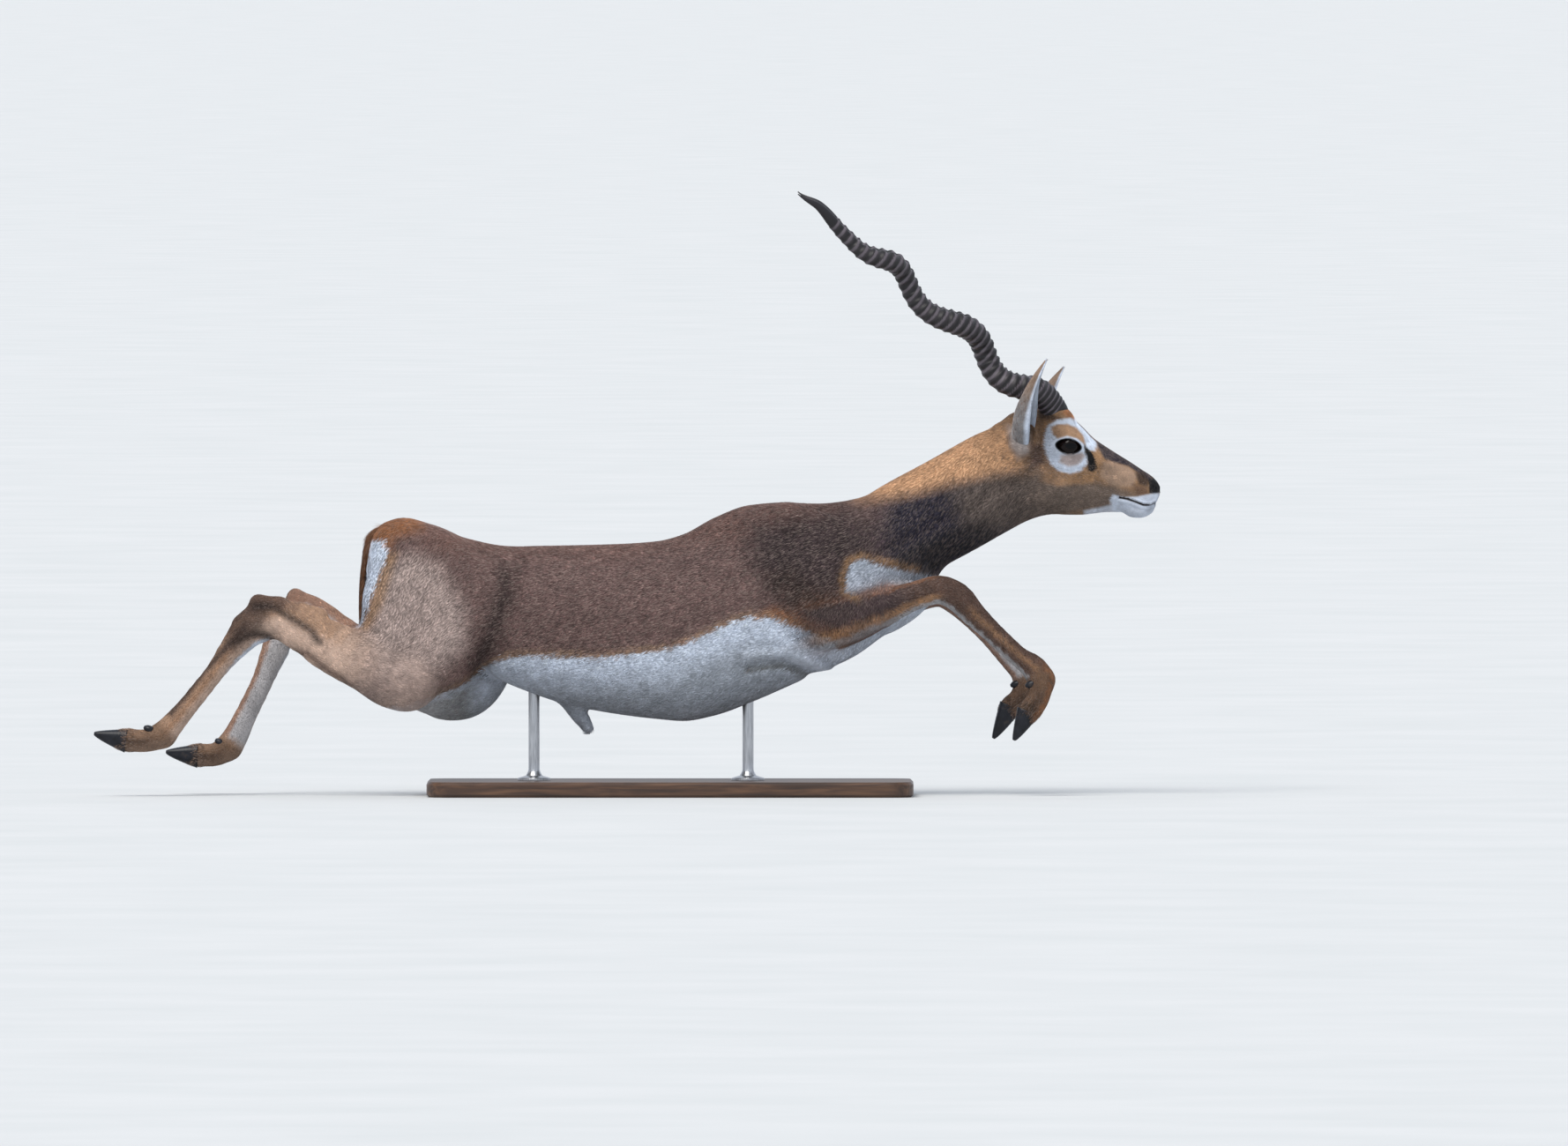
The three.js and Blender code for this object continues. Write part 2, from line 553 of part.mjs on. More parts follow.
// Moves a point on to the skin, by no more than "most".
function settle(form, p, most) {
  const step = 0.5;
  const start = form(...p);
  if (Math.abs(start) > most * 2) return p;
  const slope = [0, 1, 2].map((d) => {
    const q = [...p];
    q[d] += step;
    return (form(...q) - start) / step;
  });
  const steep = slope.reduce((s, g) => s + g * g, 0);
  const move = Math.min(Math.max(start / Math.max(steep, 0.2), -most), most);
  return p.map((x, d) => x - slope[d] * move);
}

// A closed solid through rings of points, each ring with as many points, with flat ends.
function loft(rings) {
  const n = rings[0].length;
  const points = rings.flat();
  const index = [];
  rings.slice(1).forEach((_, r) => {
    for (let i = 0; i < n; i++) {
      const [a, b] = [r * n + i, r * n + ((i + 1) % n)];
      index.push(a, b, b + n, a, b + n, a + n);
    }
  });
  [0, rings.length - 1].forEach((r) => {
    const middle = rings[r].reduce((s, p) => s.add(p), vec(0, 0, 0)).divideScalar(n);
    points.push(middle);
    for (let i = 0; i < n; i++) {
      const [a, b] = [r * n + i, r * n + ((i + 1) % n)];
      index.push(points.length - 1, ...(r ? [a, b] : [b, a]));
    }
  });
  return geometryOf(numbersOf(points), index);
}
function geometryOf(numbers, index) {
  const geometry = new THREE.BufferGeometry();
  geometry.setAttribute("position", new THREE.Float32BufferAttribute(numbers, 3));
  geometry.setIndex(index);
  return geometry;
}
const numbersOf = (points) => points.flatMap((p) => [p.x, p.y, p.z]);
// A round or oval tube along a line of points: radius(i) gives [in profile, across],
// or, for a line that runs level, [upright, level].
function tube(points, sides, radius, level = false) {
  return loft(
    points.map((p, i) => {
      const ahead = points[Math.min(i + 1, points.length - 1)];
      const behind = points[Math.max(i - 1, 0)];
      const way = vec().subVectors(ahead, behind).normalize();
      const fixed = level ? vec(0, 0, 1) : vec(0, 1, 0);
      fixed.addScaledVector(way, -fixed.dot(way)).normalize();
      const other = vec().crossVectors(way, fixed);
      const [up, across] = level ? [fixed, other] : [other, fixed];
      const [deep, wide] = radius(i);
      return ringAt(p, up.multiplyScalar(deep), across.multiplyScalar(wide), sides);
    }),
  );
}
function ringAt(centre, up, across, sides) {
  return Array.from({ length: sides }, (_, i) => {
    const a = (2 * Math.PI * i) / sides;
    return centre.clone().addScaledVector(up, Math.cos(a)).addScaledVector(across, Math.sin(a));
  });
}
function chainTube(rows, side, sides, grow = 0) {
  const points = rows.map((r) => vec(r.x, side * (r.y ?? 0), r.z));
  return solidOf(tube(points, sides, (i) => [rows[i].deep + grow, rows[i].wide + grow]));
}

// Boxes that part the flesh at its joints. Each starts at a plane through "at" that faces "way".
function partBox({ at, way, long, low, high, y }, grow = 0) {
  const size = vec(long + grow, y[1] - y[0] + 2 * grow, high - low + 2 * grow);
  const box = new THREE.BoxGeometry(size.x, size.y, size.z);
  box.translate((long - grow) / 2, (y[0] + y[1]) / 2, (low + high) / 2);
  const turn = new THREE.Matrix4().makeRotationY(-Math.atan2(way[1], way[0]));
  return placed(box, turn.setPosition(at[0], 0, at[1]));
}
const sideRange = (side, near, far) => (side < 0 ? [-far, -near] : [near, far]);

const JOINTS = {
  neck: { at: [352, 386], way: [0.88, 0.48], long: 190, low: -120, high: 120, y: [-140, 140] },
  head: { at: [499, 470], way: [0.95, 0.32], long: 260, low: -130, high: 130, y: [-120, 120] },
};
const LEG_JOINTS = {
  fore_right: {
    forearm: { at: [252, 257], way: [0.957, 0.288], long: 230, low: -190, high: 36 },
    cannon: { at: [399, 291], way: [0.85, -0.53], long: 180, low: -120, high: 45 },
    foot: { at: [526, 181], way: [0.45, -0.89], long: 130, low: -75, high: 60 },
    y: [30, 140],
  },
  fore_left: {
    forearm: { at: [250, 248], way: [0.957, 0.288], long: 230, low: -190, high: 36 },
    cannon: { at: [398, 281], way: [0.8, -0.6], long: 180, low: -120, high: 45 },
    foot: { at: [494, 166], way: [0.4, -0.92], long: 130, low: -75, high: 60 },
    y: [30, 140],
  },
  hind_right: {
    thigh: { at: [-330, 248], way: [-0.586, -0.81], long: 420, low: -330, high: 118 },
    shank: { at: [-446, 198], way: [-0.927, 0.375], long: 430, low: -68, high: 75 },
    cannon: { at: [-579, 253], way: [-0.9, -0.42], long: 300, low: -90, high: 120 },
    foot: { at: [-721, 98], way: [-0.8, -0.6], long: 140, low: -60, high: 60 },
    y: [0, 150], inner: 28,
  },
  hind_left: {
    thigh: { at: [-310, 244], way: [-0.5, -0.866], long: 420, low: -330, high: 108 },
    shank: { at: [-398, 188], way: [-0.87, 0.49], long: 420, low: -64, high: 75 },
    cannon: { at: [-536, 256], way: [-0.75, -0.66], long: 300, low: -90, high: 120 },
    foot: { at: [-627, 80], way: [-0.62, -0.785], long: 140, low: -60, high: 90 },
    y: [0, 150], inner: 28,
  },
};

// What the trunk and neck leave free for a leg.
function legBox(name, part) {
  const y = sideRange(FEET[name].side, ...LEG_JOINTS[name].y);
  return partBox({ ...LEG_JOINTS[name][part], y }, GAP / 2);
}

const solids = new Map();

// The hooves and dewclaws of a foot.
function clawSolid(foot, sign, grow) {
  const y = foot.side * (foot.y + sign * DIGIT.apart);
  const [root, tip] = [foot.coronet, foot.tip].map((p) => vec(p.x, y, p.z));
  const way = vec().subVectors(tip, root).normalize();
  const sole = vec(foot.sole.x, 0, foot.sole.z).normalize();
  sole.addScaledVector(way, -sole.dot(way)).normalize();
  const outer = vec(0, foot.side * sign, 0);
  const start = root.clone().addScaledVector(way, -CLAW.root);
  const long = start.distanceTo(tip);
  const rings = Array.from({ length: CLAW.rings }, (_, r) => {
    const t = r / (CLAW.rings - 1);
    const taper = Math.pow(1 - t, 0.66);
    const deep = CLAW.deep * lerp(0.14, 1, taper) + grow;
    const wide = CLAW.wide * lerp(0.2, 1, Math.pow(1 - t, 0.5)) + grow;
    const centre = start.clone().addScaledVector(way, t * long + (t ? grow : -grow));
    centre.addScaledVector(sole, (1 - taper) * 3);
    return Array.from({ length: CLAW.sides }, (_, i) => {
      const a = (2 * Math.PI * (i + 0.5)) / CLAW.sides;
      const [c, s] = [Math.cos(a), Math.sin(a)];
      const flatSole = c > 0 ? CLAW.flatSole : 1;
      const flatInner = s < 0 ? CLAW.flatInner : 1;
      return centre.clone().addScaledVector(sole, c * deep * flatSole)
        .addScaledVector(outer, s * wide * flatInner);
    });
  });
  return solidOf(loft(rings));
}
function dewclawSolid(foot, sign, grow) {
  const y = foot.side * (foot.y + sign * DEWCLAW.apart);
  const tip = vec(foot.dewclaw.x, y, foot.dewclaw.z);
  const heart = vec(foot.fetlock.x, foot.side * foot.y, foot.fetlock.z);
  const way = vec().subVectors(tip, heart).setY(0).normalize();
  const sizes = [0.95, 1, 0.85, 0.35];
  const rings = sizes.map((share, i) => {
    const at = tip.clone().addScaledVector(way, (i / 3 - 0.75) * DEWCLAW.long);
    const r = DEWCLAW.radius * share + grow;
    const up = vec(-way.z, 0, way.x).multiplyScalar(r);
    return ringAt(at, up, vec(0, r, 0), 6);
  });
  return solidOf(loft(rings));
}

// How far out a leg is looked for, and the cells that its skin is found in.
const LEG_REACH = 136;
const LIMB_CELLS = [18, 11, 10.5];
const FOOT_CELLS = [13, 11, 9];

// One leg, parted at its joints; what follows a joint is cut out of what comes before it.
function makeLeg(name, grids) {
  const foot = FEET[name];
  const joints = LEG_JOINTS[name];
  const near = (part) => (part === "thigh" ? joints.y[0] : joints.inner ?? joints.y[0]);
  const boxes = Object.keys(grids).map((part) =>
    ({ ...joints[part], y: sideRange(foot.side, near(part), joints.y[1]) }));
  const claws = [-1, 1].map((sign) => ({ sign, where: sign > 0 ? "outer" : "inner" }));
  Object.entries(grids).forEach(([part, grid], i) => {
    const gridY = sideRange(foot.side, near(part) - 2 * grid.cells[2], LEG_REACH);
    const form = part === "foot" ? footForms[name] : whole;
    let solid = solidOf(skinOf(form, { ...grid, y: gridY })).intersect(partBox(boxes[i], -GAP / 2));
    if (boxes[i + 1]) solid = solid.subtract(partBox(boxes[i + 1], GAP / 2));
    if (part === "thigh") solid = solid.subtract(chainTube(TAIL, 1, 12, SOCKET_GAP));
    if (part === "foot")
      claws.forEach(({ sign }) => {
        solid = solid
          .subtract(clawSolid(foot, sign, SOCKET_GAP))
          .subtract(dewclawSolid(foot, sign, SOCKET_GAP));
      });
    const move = part === "foot" ? TIDY.moveByHooves : TIDY.move;
    solids.set(`${name}_${part}`, largest(solid, move));
  });
  claws.forEach(({ sign, where }) => {
    solids.set(`${name}_hoof_${where}`, clawSolid(foot, sign, 0));
    solids.set(`${name}_dewclaw_${where}`, dewclawSolid(foot, sign, 0));
  });
}
const grid = (from, along, size, cells = LIMB_CELLS) => ({ from, along, size, cells });
makeLeg("fore_right", {
  forearm: grid([222, 247], [0.95, 0.31], { back: -15, ahead: 235, low: -75, high: 50 }),
  cannon: grid([386, 302], [0.73, -0.68], { back: -25, ahead: 215, low: -48, high: 48 }),
  foot: grid([528, 188], [-0.2, -0.98], { back: -15, ahead: 95, low: -45, high: 40 }, FOOT_CELLS),
});
makeLeg("fore_left", {
  forearm: grid([218, 238], [0.95, 0.31], { back: -15, ahead: 235, low: -75, high: 50 }),
  cannon: grid([386, 295], [0.62, -0.78], { back: -25, ahead: 215, low: -48, high: 48 }),
  foot: grid([495, 175], [-0.2, -0.98], { back: -15, ahead: 85, low: -45, high: 40 }, FOOT_CELLS),
});
makeLeg("hind_right", {
  thigh: grid([-370, 240], [1, 0], { back: -105, ahead: 190, low: -135, high: 135 }, [23, 23, 20]),
  shank: grid([-420, 185], [-0.927, 0.375], { back: -40, ahead: 215, low: -76, high: 62 }, [19, 14, 12]),
  cannon: grid([-590, 275], [-0.6, -0.8], { back: -40, ahead: 250, low: -60, high: 50 }),
  foot: grid([-715, 90], [-1, 0], { back: -25, ahead: 95, low: -35, high: 40 }, FOOT_CELLS),
});
makeLeg("hind_left", {
  thigh: grid([-340, 235], [1, 0], { back: -105, ahead: 190, low: -145, high: 135 }, [23, 23, 20]),
  shank: grid([-370, 175], [-0.87, 0.49], { back: -40, ahead: 225, low: -76, high: 62 }, [19, 14, 12]),
  cannon: grid([-535, 280], [-0.43, -0.9], { back: -40, ahead: 250, low: -60, high: 50 }),
  foot: grid([-620, 66], [-1, 0], { back: -25, ahead: 95, low: -35, high: 40 }, FOOT_CELLS),
});

// A horn: rings along a corkscrew, each ridge a wide ring between two narrow ones.
function hornSolid(side, grow) {
  const root = vec(HORN_ROOT.x, side * HORN_ROOT.y, HORN_ROOT.z);
  const tip = vec(HORN_TIP.x, side * HORN_TIP.y, HORN_TIP.z);
  const way = vec().subVectors(tip, root).normalize();
  const forward = vec(-tip.z + root.z, 0, tip.x - root.x).negate().normalize();
  const outward = vec().crossVectors(way, forward).multiplyScalar(side);
  const long = root.distanceTo(tip);
  const radius = curveOf(HORN_RADIUS, "value", "at");
  const swing = curveOf(HORN_SWING, "value", "at");
  const bow = (s) => HORN.bow * Math.sin((Math.PI * s) / long);
  const centre = (s) => {
    const turn = (2 * Math.PI * (s - HORN.firstCrest)) / HORN.turn;
    return root.clone().addScaledVector(way, s)
      .addScaledVector(forward, swing(s) * Math.cos(turn) + bow(s))
      .addScaledVector(outward, swing(s) * Math.sin(turn));
  };
  const ridge = (i) => lerp(HORN.ridgeFrom, HORN.ridgeTo, i / HORN.ridges);
  const stops = [-24 - grow, -8, 3].map((s) => ({ s, rise: 0 }));
  for (let i = 0; i < HORN.ridges; i++) {
    const [a, b] = [ridge(i), ridge(i + 1)];
    const rise = Math.min(1.9, 0.6 + i * 0.16) * (i > HORN.ridges - 4 ? 0.6 : 1);
    stops.push({ s: a, rise: -0.5 * rise }, { s: lerp(a, b, 0.62), rise: 0.5 * rise });
  }
  [0.35, 0.65, 0.85, 1].forEach((t) => stops.push({ s: lerp(HORN.ridgeTo, long, t), rise: 0 }));
  const rings = stops.map(({ s, rise }) => {
    const ahead = vec().subVectors(centre(s + 2), centre(s - 2)).normalize();
    const across = vec().crossVectors(ahead, forward).normalize();
    const up = vec().crossVectors(across, ahead);
    const r = Math.max(radius(s) + rise + grow, 0.4);
    return ringAt(centre(s), up.multiplyScalar(r), across.multiplyScalar(r * 0.94), HORN.sides);
  });
  return solidOf(loft(rings));
}

// An ear: a leaf rolled into a cup, with a wall of even thickness.
function earSolid({ root, tip, open }, grow) {
  const [start, end, facing] = [root, tip, open].map((p) => vec(...p));
  const way = vec().subVectors(end, start).normalize();
  facing.addScaledVector(way, -facing.dot(way)).normalize();
  const side = vec().crossVectors(way, facing);
  const radius = curveOf(EAR_CUP, "radius", "at");
  const half = curveOf(EAR_CUP, "half", "at");
  const loops = Array.from({ length: EAR.rings }, (_, r) => {
    const t = r / (EAR.rings - 1);
    const centre = start.clone().lerp(end, t).addScaledVector(way, grow * (2 * t - 1));
    const point = (i, inset) => {
      const a = (rad(half(t)) + grow / radius(t)) * ((2 * i) / EAR.across - 1);
      const r0 = Math.max(radius(t) - inset, 0.4);
      return centre.clone().addScaledVector(facing, -r0 * Math.cos(a))
        .addScaledVector(side, r0 * Math.sin(a));
    };
    const list = Array.from({ length: EAR.across + 1 }, (_, i) => i);
    const wall = EAR.thick * lerp(1.3, 0.7, t);
    return { outer: list.map((i) => point(i, -grow)), inner: list.map((i) => point(i, wall + grow)) };
  });
  return solidOf(shell(loops));
}
function shell(loops) {
  const n = loops[0].outer.length;
  const points = loops.flatMap(({ outer, inner }) => [...outer, ...inner.slice().reverse()]);
  const index = [];
  for (let r = 0; r < loops.length - 1; r++)
    for (let i = 0; i < 2 * n; i++) {
      const [a, b] = [r * 2 * n + i, r * 2 * n + ((i + 1) % (2 * n))];
      index.push(a, b, b + 2 * n, a, b + 2 * n, a + 2 * n);
    }
  for (const r of [0, loops.length - 1])
    for (let i = 0; i < n - 1; i++) {
      const base = r * 2 * n;
      const quad = [base + i, base + i + 1, base + 2 * n - 2 - i, base + 2 * n - 1 - i];
      if (!r) quad.reverse();
      const [a, b, c, d] = quad;
      index.push(a, b, c, a, c, d);
    }
  return geometryOf(numbersOf(points), index);
}

// Where the skin of the head lies beside a point of its profile.
function besideHead(x, z, side, out = 0) {
  let y = 0;
  while (skull(x, y, z) < 0 && y < 80) y += 0.25;
  return vec(x, side * (y + out), z);
}
const eyeSolid = (side, grow) =>
  placed(new THREE.SphereGeometry(EYE.radius + grow, 14, 8),
    new THREE.Matrix4().makeRotationX(Math.PI / 2).setPosition(EYE.x, side * EYE.y, EYE.z));
// The two lids: an almond-shaped rim that hugs the eyeball.
function lids(side) {
  const count = 16;
  const points = Array.from({ length: count + 1 }, (_, i) => {
    const a = (2 * Math.PI * i) / count;
    const u = LID.long * Math.cos(a);
    const v = LID.high * Math.sin(a) * (1 - 0.25 * Math.abs(Math.cos(a)));
    const t = rad(LID.tilt);
    const [x, z] = [u * Math.cos(t) - v * Math.sin(t), u * Math.sin(t) + v * Math.cos(t)];
    const reach = EYE.radius + LID.stand;
    const y = EYE.y + Math.sqrt(Math.max(reach * reach - x * x - z * z, 36));
    return vec(EYE.x + x, side * y, EYE.z + z);
  });
  const half = count / 2 + 1;
  const [upper, lower] = [points.slice(0, half), points.slice(half - 1)].map((line) =>
    solidOf(tube(line, 5, () => [LID.thick, LID.thick])));
  return upper.add(lower);
}
function pit({ x, y, z, long, high, deep, tilt }, side) {
  const ball = new THREE.SphereGeometry(1, 9, 6);
  const matrix = new THREE.Matrix4().makeTranslation(x, side * y, z)
    .multiply(new THREE.Matrix4().makeRotationY(rad(tilt)))
    .multiply(new THREE.Matrix4().makeScale(long, deep, high));
  return placed(ball, matrix);
}
// The line of the mouth, round the front of the muzzle from one corner to the other.
function mouthLine(rise, out, reach = 3) {
  const right = MOUTH.map(([x, z]) => besideHead(x, z + rise, -1, out));
  const left = MOUTH.map(([x, z]) => besideHead(x, z + rise, 1, out)).reverse();
  const front = vec(right.at(-1).x + reach + out, 0, right.at(-1).z + 1.5);
  return [...right, front, ...left];
}

function makeHead() {
  const headGrid = {
    from: [500, 470], along: [0.97, -0.22], cells: [12, 11, 10.4],
    size: { back: -48, ahead: 235, low: -95, high: 125 }, y: [-84, 84],
  };
  let head = solidOf(skinOf(flesh, headGrid)).intersect(partBox(JOINTS.head, -GAP / 2));
  const ends = 2 * MOUTH.length;
  const full = (i) => Math.min(1, 0.25 + 0.35 * Math.min(i, ends - i));
  const lip = (i) => [LIPS.thick * full(i), LIPS.thick * 0.7 * full(i)];
  const upperLip = tube(mouthLine(LIPS.lift, LIPS.out), 6, lip, true);
  const lowerLip = tube(mouthLine(-LIPS.lift, LIPS.out, -1), 6, lip, true);
  head = head.add(solidOf(upperLip)).add(solidOf(lowerLip));
  for (const side of [-1, 1]) {
    const gland = besideHead(GLAND.x, GLAND.z, side);
    head = head
      .subtract(pit(EYE_OPENING, side))
      .add(lids(side))
      .subtract(eyeSolid(side, SOCKET_GAP))
      .subtract(pit({ ...GLAND, y: gland.y * side, high: GLAND.long, long: GLAND.wide }, side))
      .subtract(pit(NOSTRIL, side))
      .subtract(hornSolid(side, SOCKET_GAP))
      .subtract(earSolid(side < 0 ? EAR_RIGHT : EAR_LEFT, SOCKET_GAP));
  }
  const groove = tube(mouthLine(0, 0.2), 4, () => [LIPS.groove, LIPS.groove], true);
  head = head.subtract(solidOf(groove));
  solids.set("head", largest(head));
}

function makeTrunk() {
  const torsoGrid = {
    from: [0, 270], along: [1, 0], cells: [33, 29, 28],
    size: { back: -479, ahead: 440, low: -192, high: 200 }, y: [-140, 140],
  };
  const sheath = chainTube(SHEATH, 1, 10);
  let torso = solidOf(skinOf(flesh, torsoGrid)).subtract(partBox(JOINTS.neck, GAP / 2));
  for (const [name, part] of [["fore_right", "forearm"], ["fore_left", "forearm"],
    ["hind_right", "thigh"], ["hind_left", "thigh"]]) {
    torso = torso.subtract(legBox(name, part));
  }
  torso = torso.add(sheath).subtract(chainTube(TAIL, 1, 12, SOCKET_GAP));
  for (const rod of [ROD_REAR, ROD_FRONT]) torso = torso.subtract(rodSolid(rod, GAP));
  solids.set("torso", largest(torso));
  solids.set("tail", chainTube(TAIL, 1, 12));

  const neckGrid = {
    from: [352, 386], along: [0.88, 0.48], cells: [24, 21, 21],
    size: { back: -40, ahead: 200, low: -115, high: 115 }, y: [-100, 100],
  };
  let neck = solidOf(skinOf(flesh, neckGrid))
    .intersect(partBox(JOINTS.neck, -GAP / 2))
    .subtract(partBox(JOINTS.head, GAP / 2));
  for (const name of ["fore_right", "fore_left"])
    neck = neck.subtract(legBox(name, "forearm"));
  solids.set("neck", largest(neck));
}

// A rod with a flared foot on the base and its top sunk in the belly.
function rodSolid({ x, belly }, grow = 0) {
  const foot = BASE.thick + GAP - grow;
  const profile = [
    [0, foot], [ROD.foot + grow, foot], [ROD.foot + grow, foot + ROD.footHigh],
    [ROD.radius + 2 + grow, foot + ROD.footHigh + 3], [ROD.radius + grow, foot + ROD.flare],
    [ROD.radius + grow, belly + ROD.sunk + grow], [0, belly + ROD.sunk + grow],
  ].map(([r, z]) => new THREE.Vector2(r, z));
  return placed(new THREE.LatheGeometry(profile, 12),
    new THREE.Matrix4().makeRotationX(Math.PI / 2).setPosition(x, 0, 0));
}
function makeStand() {
  const [l, w, c] = [BASE.length / 2 - BASE.bevel, BASE.width / 2 - BASE.bevel, BASE.corner];
  const outline = new THREE.Shape();
  outline.moveTo(-l + c, -w);
  outline.lineTo(l - c, -w).absarc(l - c, -w + c, c, -Math.PI / 2, 0);
  outline.lineTo(l, w - c).absarc(l - c, w - c, c, 0, Math.PI / 2);
  outline.lineTo(-l + c, w).absarc(-l + c, w - c, c, Math.PI / 2, Math.PI);
  outline.lineTo(-l, -w + c).absarc(-l + c, -w + c, c, Math.PI, 1.5 * Math.PI);
  const plate = new THREE.ExtrudeGeometry(outline, {
    depth: BASE.thick - 2 * BASE.bevel, bevelThickness: BASE.bevel, bevelSize: BASE.bevel,
    bevelSegments: 1, curveSegments: 4,
  });
  solids.set("stand_base", solidOf(plate.translate(0, 0, BASE.bevel)));
  solids.set("stand_rod_rear", rodSolid(ROD_REAR));
  solids.set("stand_rod_front", rodSolid(ROD_FRONT));
}

makeHead();
makeTrunk();
for (const [side, name] of [[-1, "right"], [1, "left"]]) {
  solids.set(`horn_${name}`, hornSolid(side, 0));
  solids.set(`ear_${name}`, earSolid(side < 0 ? EAR_RIGHT : EAR_LEFT, 0));
  solids.set(`eye_${name}`, eyeSolid(side, 0));
}
makeStand();

// Each node's look, by the first of these words in its name.
const LOOK_OF = {
  hoof: "hoof", dewclaw: "hoof", horn: "horn", ear: "ear", eye: "eye", rod: "steel", base: "wood",
  head: "face", neck: "dark", torso: "brown", thigh: "brown", tail: "brown",
};
const animal = new THREE.Group();
for (const [name, solid] of solids) {
  const mesh = solid.getMesh();
  const geometry = new THREE.BufferGeometry();
  geometry.setAttribute("position", new THREE.BufferAttribute(mesh.vertProperties, 3));
  geometry.setIndex(new THREE.BufferAttribute(mesh.triVerts, 1));
  const words = name.split("_");
  const look = LOOK[LOOK_OF[Object.keys(LOOK_OF).find((key) => words.includes(key))] ?? "tan"];
  const piece = new THREE.Mesh(geometry, new THREE.MeshStandardMaterial(look));
  piece.name = name;
  animal.add(piece);
}

export default animal;
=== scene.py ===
# %% [markdown]
# A male blackbuck in full leap, life size, as a museum would show it: a skin with its coat,
# glass eyes, ridged horns and black hooves, held over a dark wooden base by two steel rods.
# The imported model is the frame. It gives every place and size, and each piece is built on it.
# %% Load the frame
import math
import bpy
import numpy as np
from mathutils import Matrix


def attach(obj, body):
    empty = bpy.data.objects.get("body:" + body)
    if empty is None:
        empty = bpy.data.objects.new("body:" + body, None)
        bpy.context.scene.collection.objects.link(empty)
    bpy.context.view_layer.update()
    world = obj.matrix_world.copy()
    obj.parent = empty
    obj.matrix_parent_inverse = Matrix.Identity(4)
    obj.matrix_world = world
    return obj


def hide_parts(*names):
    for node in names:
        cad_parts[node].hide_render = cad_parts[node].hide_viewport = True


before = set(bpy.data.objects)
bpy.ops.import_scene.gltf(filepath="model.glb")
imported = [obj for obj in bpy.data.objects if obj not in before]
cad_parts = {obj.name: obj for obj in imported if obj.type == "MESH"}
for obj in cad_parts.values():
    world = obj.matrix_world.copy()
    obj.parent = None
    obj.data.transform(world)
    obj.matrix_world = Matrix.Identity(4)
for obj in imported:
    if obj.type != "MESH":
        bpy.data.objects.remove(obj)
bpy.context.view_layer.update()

MM = 0.001
rng = np.random.default_rng(29)

# %% [markdown]
# The picture was taken from far away with a very long lens, from a little above the animal's
# belly. A camera 63 m off with a 1000 mm lens gives the same flat perspective. The floor runs
# on behind to the top of the picture, so its far edge never shows.
# %% Camera
camera = bpy.data.objects.new("camera", bpy.data.cameras.new("camera"))
bpy.context.collection.objects.link(camera)
camera.data.lens, camera.data.sensor_width = 1000, 36
camera.data.clip_start, camera.data.clip_end = 1, 3000
AIM = np.array([0.1638, 0, 0.3207])
AWAY, RISE = 62.7, math.radians(1)
camera.location = AIM + AWAY * np.array([0, -math.cos(RISE), math.sin(RISE)])
camera.rotation_euler = (math.pi / 2 - RISE, 0, 0)
bpy.context.scene.camera = camera
print("camera height:", round(camera.location.z, 3))

# %% [markdown]
# Forms first. A form here is a function of points in millimetres: below zero inside, and near
# the distance to its skin outside. Chains of tapered links make limbs, balls make muscles, and
# a soft join melts one into the next as flesh does. The skin is later drawn on to these forms,
# so the same named sizes that shape the solids shape it too.
# %% Curves
def through(at, value):
    at, value = np.array(at, float), np.array(value, float)
    long = np.diff(at)
    slope = np.diff(value) / long
    a, b = slope[:-1], slope[1:]
    inner = np.where(a * b > 0, 2 * a * b / np.where(a * b > 0, a + b, 1), 0)
    tangent = np.concatenate([slope[:1], inner, slope[-1:]])
    def curve(x):
        x = np.clip(x, at[0], at[-1])
        i = np.clip(np.searchsorted(at, x, side="right") - 1, 0, len(long) - 1)
        t = (x - at[i]) / long[i]
        u = 1 - t
        return (value[i] * (1 + 2 * t) * u * u + tangent[i] * long[i] * t * u * u
                + value[i + 1] * (3 - 2 * t) * t * t - tangent[i + 1] * long[i] * t * t * u)
    return curve

def refined(rows, links=3):
    rows = np.array(rows, float)
    along = np.concatenate([[0], np.cumsum(np.hypot(*np.diff(rows[:, :2], axis=0).T))])
    stops = np.interp(np.arange((len(rows) - 1) * links + 1) / links, range(len(rows)), along)
    return np.stack([through(along, column)(stops) for column in rows.T], 1)

def smooth(low, high, x):
    t = np.clip((x - low) / (high - low), 0, 1)
    return t * t * (3 - 2 * t)

def unit(v):
    return v / np.maximum(np.linalg.norm(v, axis=-1, keepdims=True), 1e-9)

def mirrored(p):
    return np.stack([p[:, 0], np.abs(p[:, 1]), p[:, 2]], 1)

# %% Forms
FAR = 90.0

def near(p, low, high, form):
    field = np.full(len(p), FAR)
    inside = ((p > np.array(low)) & (p < np.array(high))).all(1)
    if inside.any():
        field[inside] = form(p[inside])
    return field

def soft_join(soft, *fields):
    best = fields[0]
    for field in fields[1:]:
        h = np.maximum(soft - np.abs(best - field), 0) / soft
        best = np.minimum(best, field) - h * h * soft / 4
    return best

def ball(p, at, radii, tilt=0.0, both=True):
    x, y, z = p.T
    c, s = math.cos(math.radians(tilt)), math.sin(math.radians(tilt))
    dx, dy, dz = x - at[0], (np.abs(y) if both else y) - at[1], z - at[2]
    u, v = dx * c + dz * s, dz * c - dx * s
    q = np.sqrt((u / radii[0]) ** 2 + (dy / radii[1]) ** 2 + (v / radii[2]) ** 2)
    return np.sqrt(u * u + dy * dy + v * v) * (1 - 1 / np.maximum(q, 1e-3))

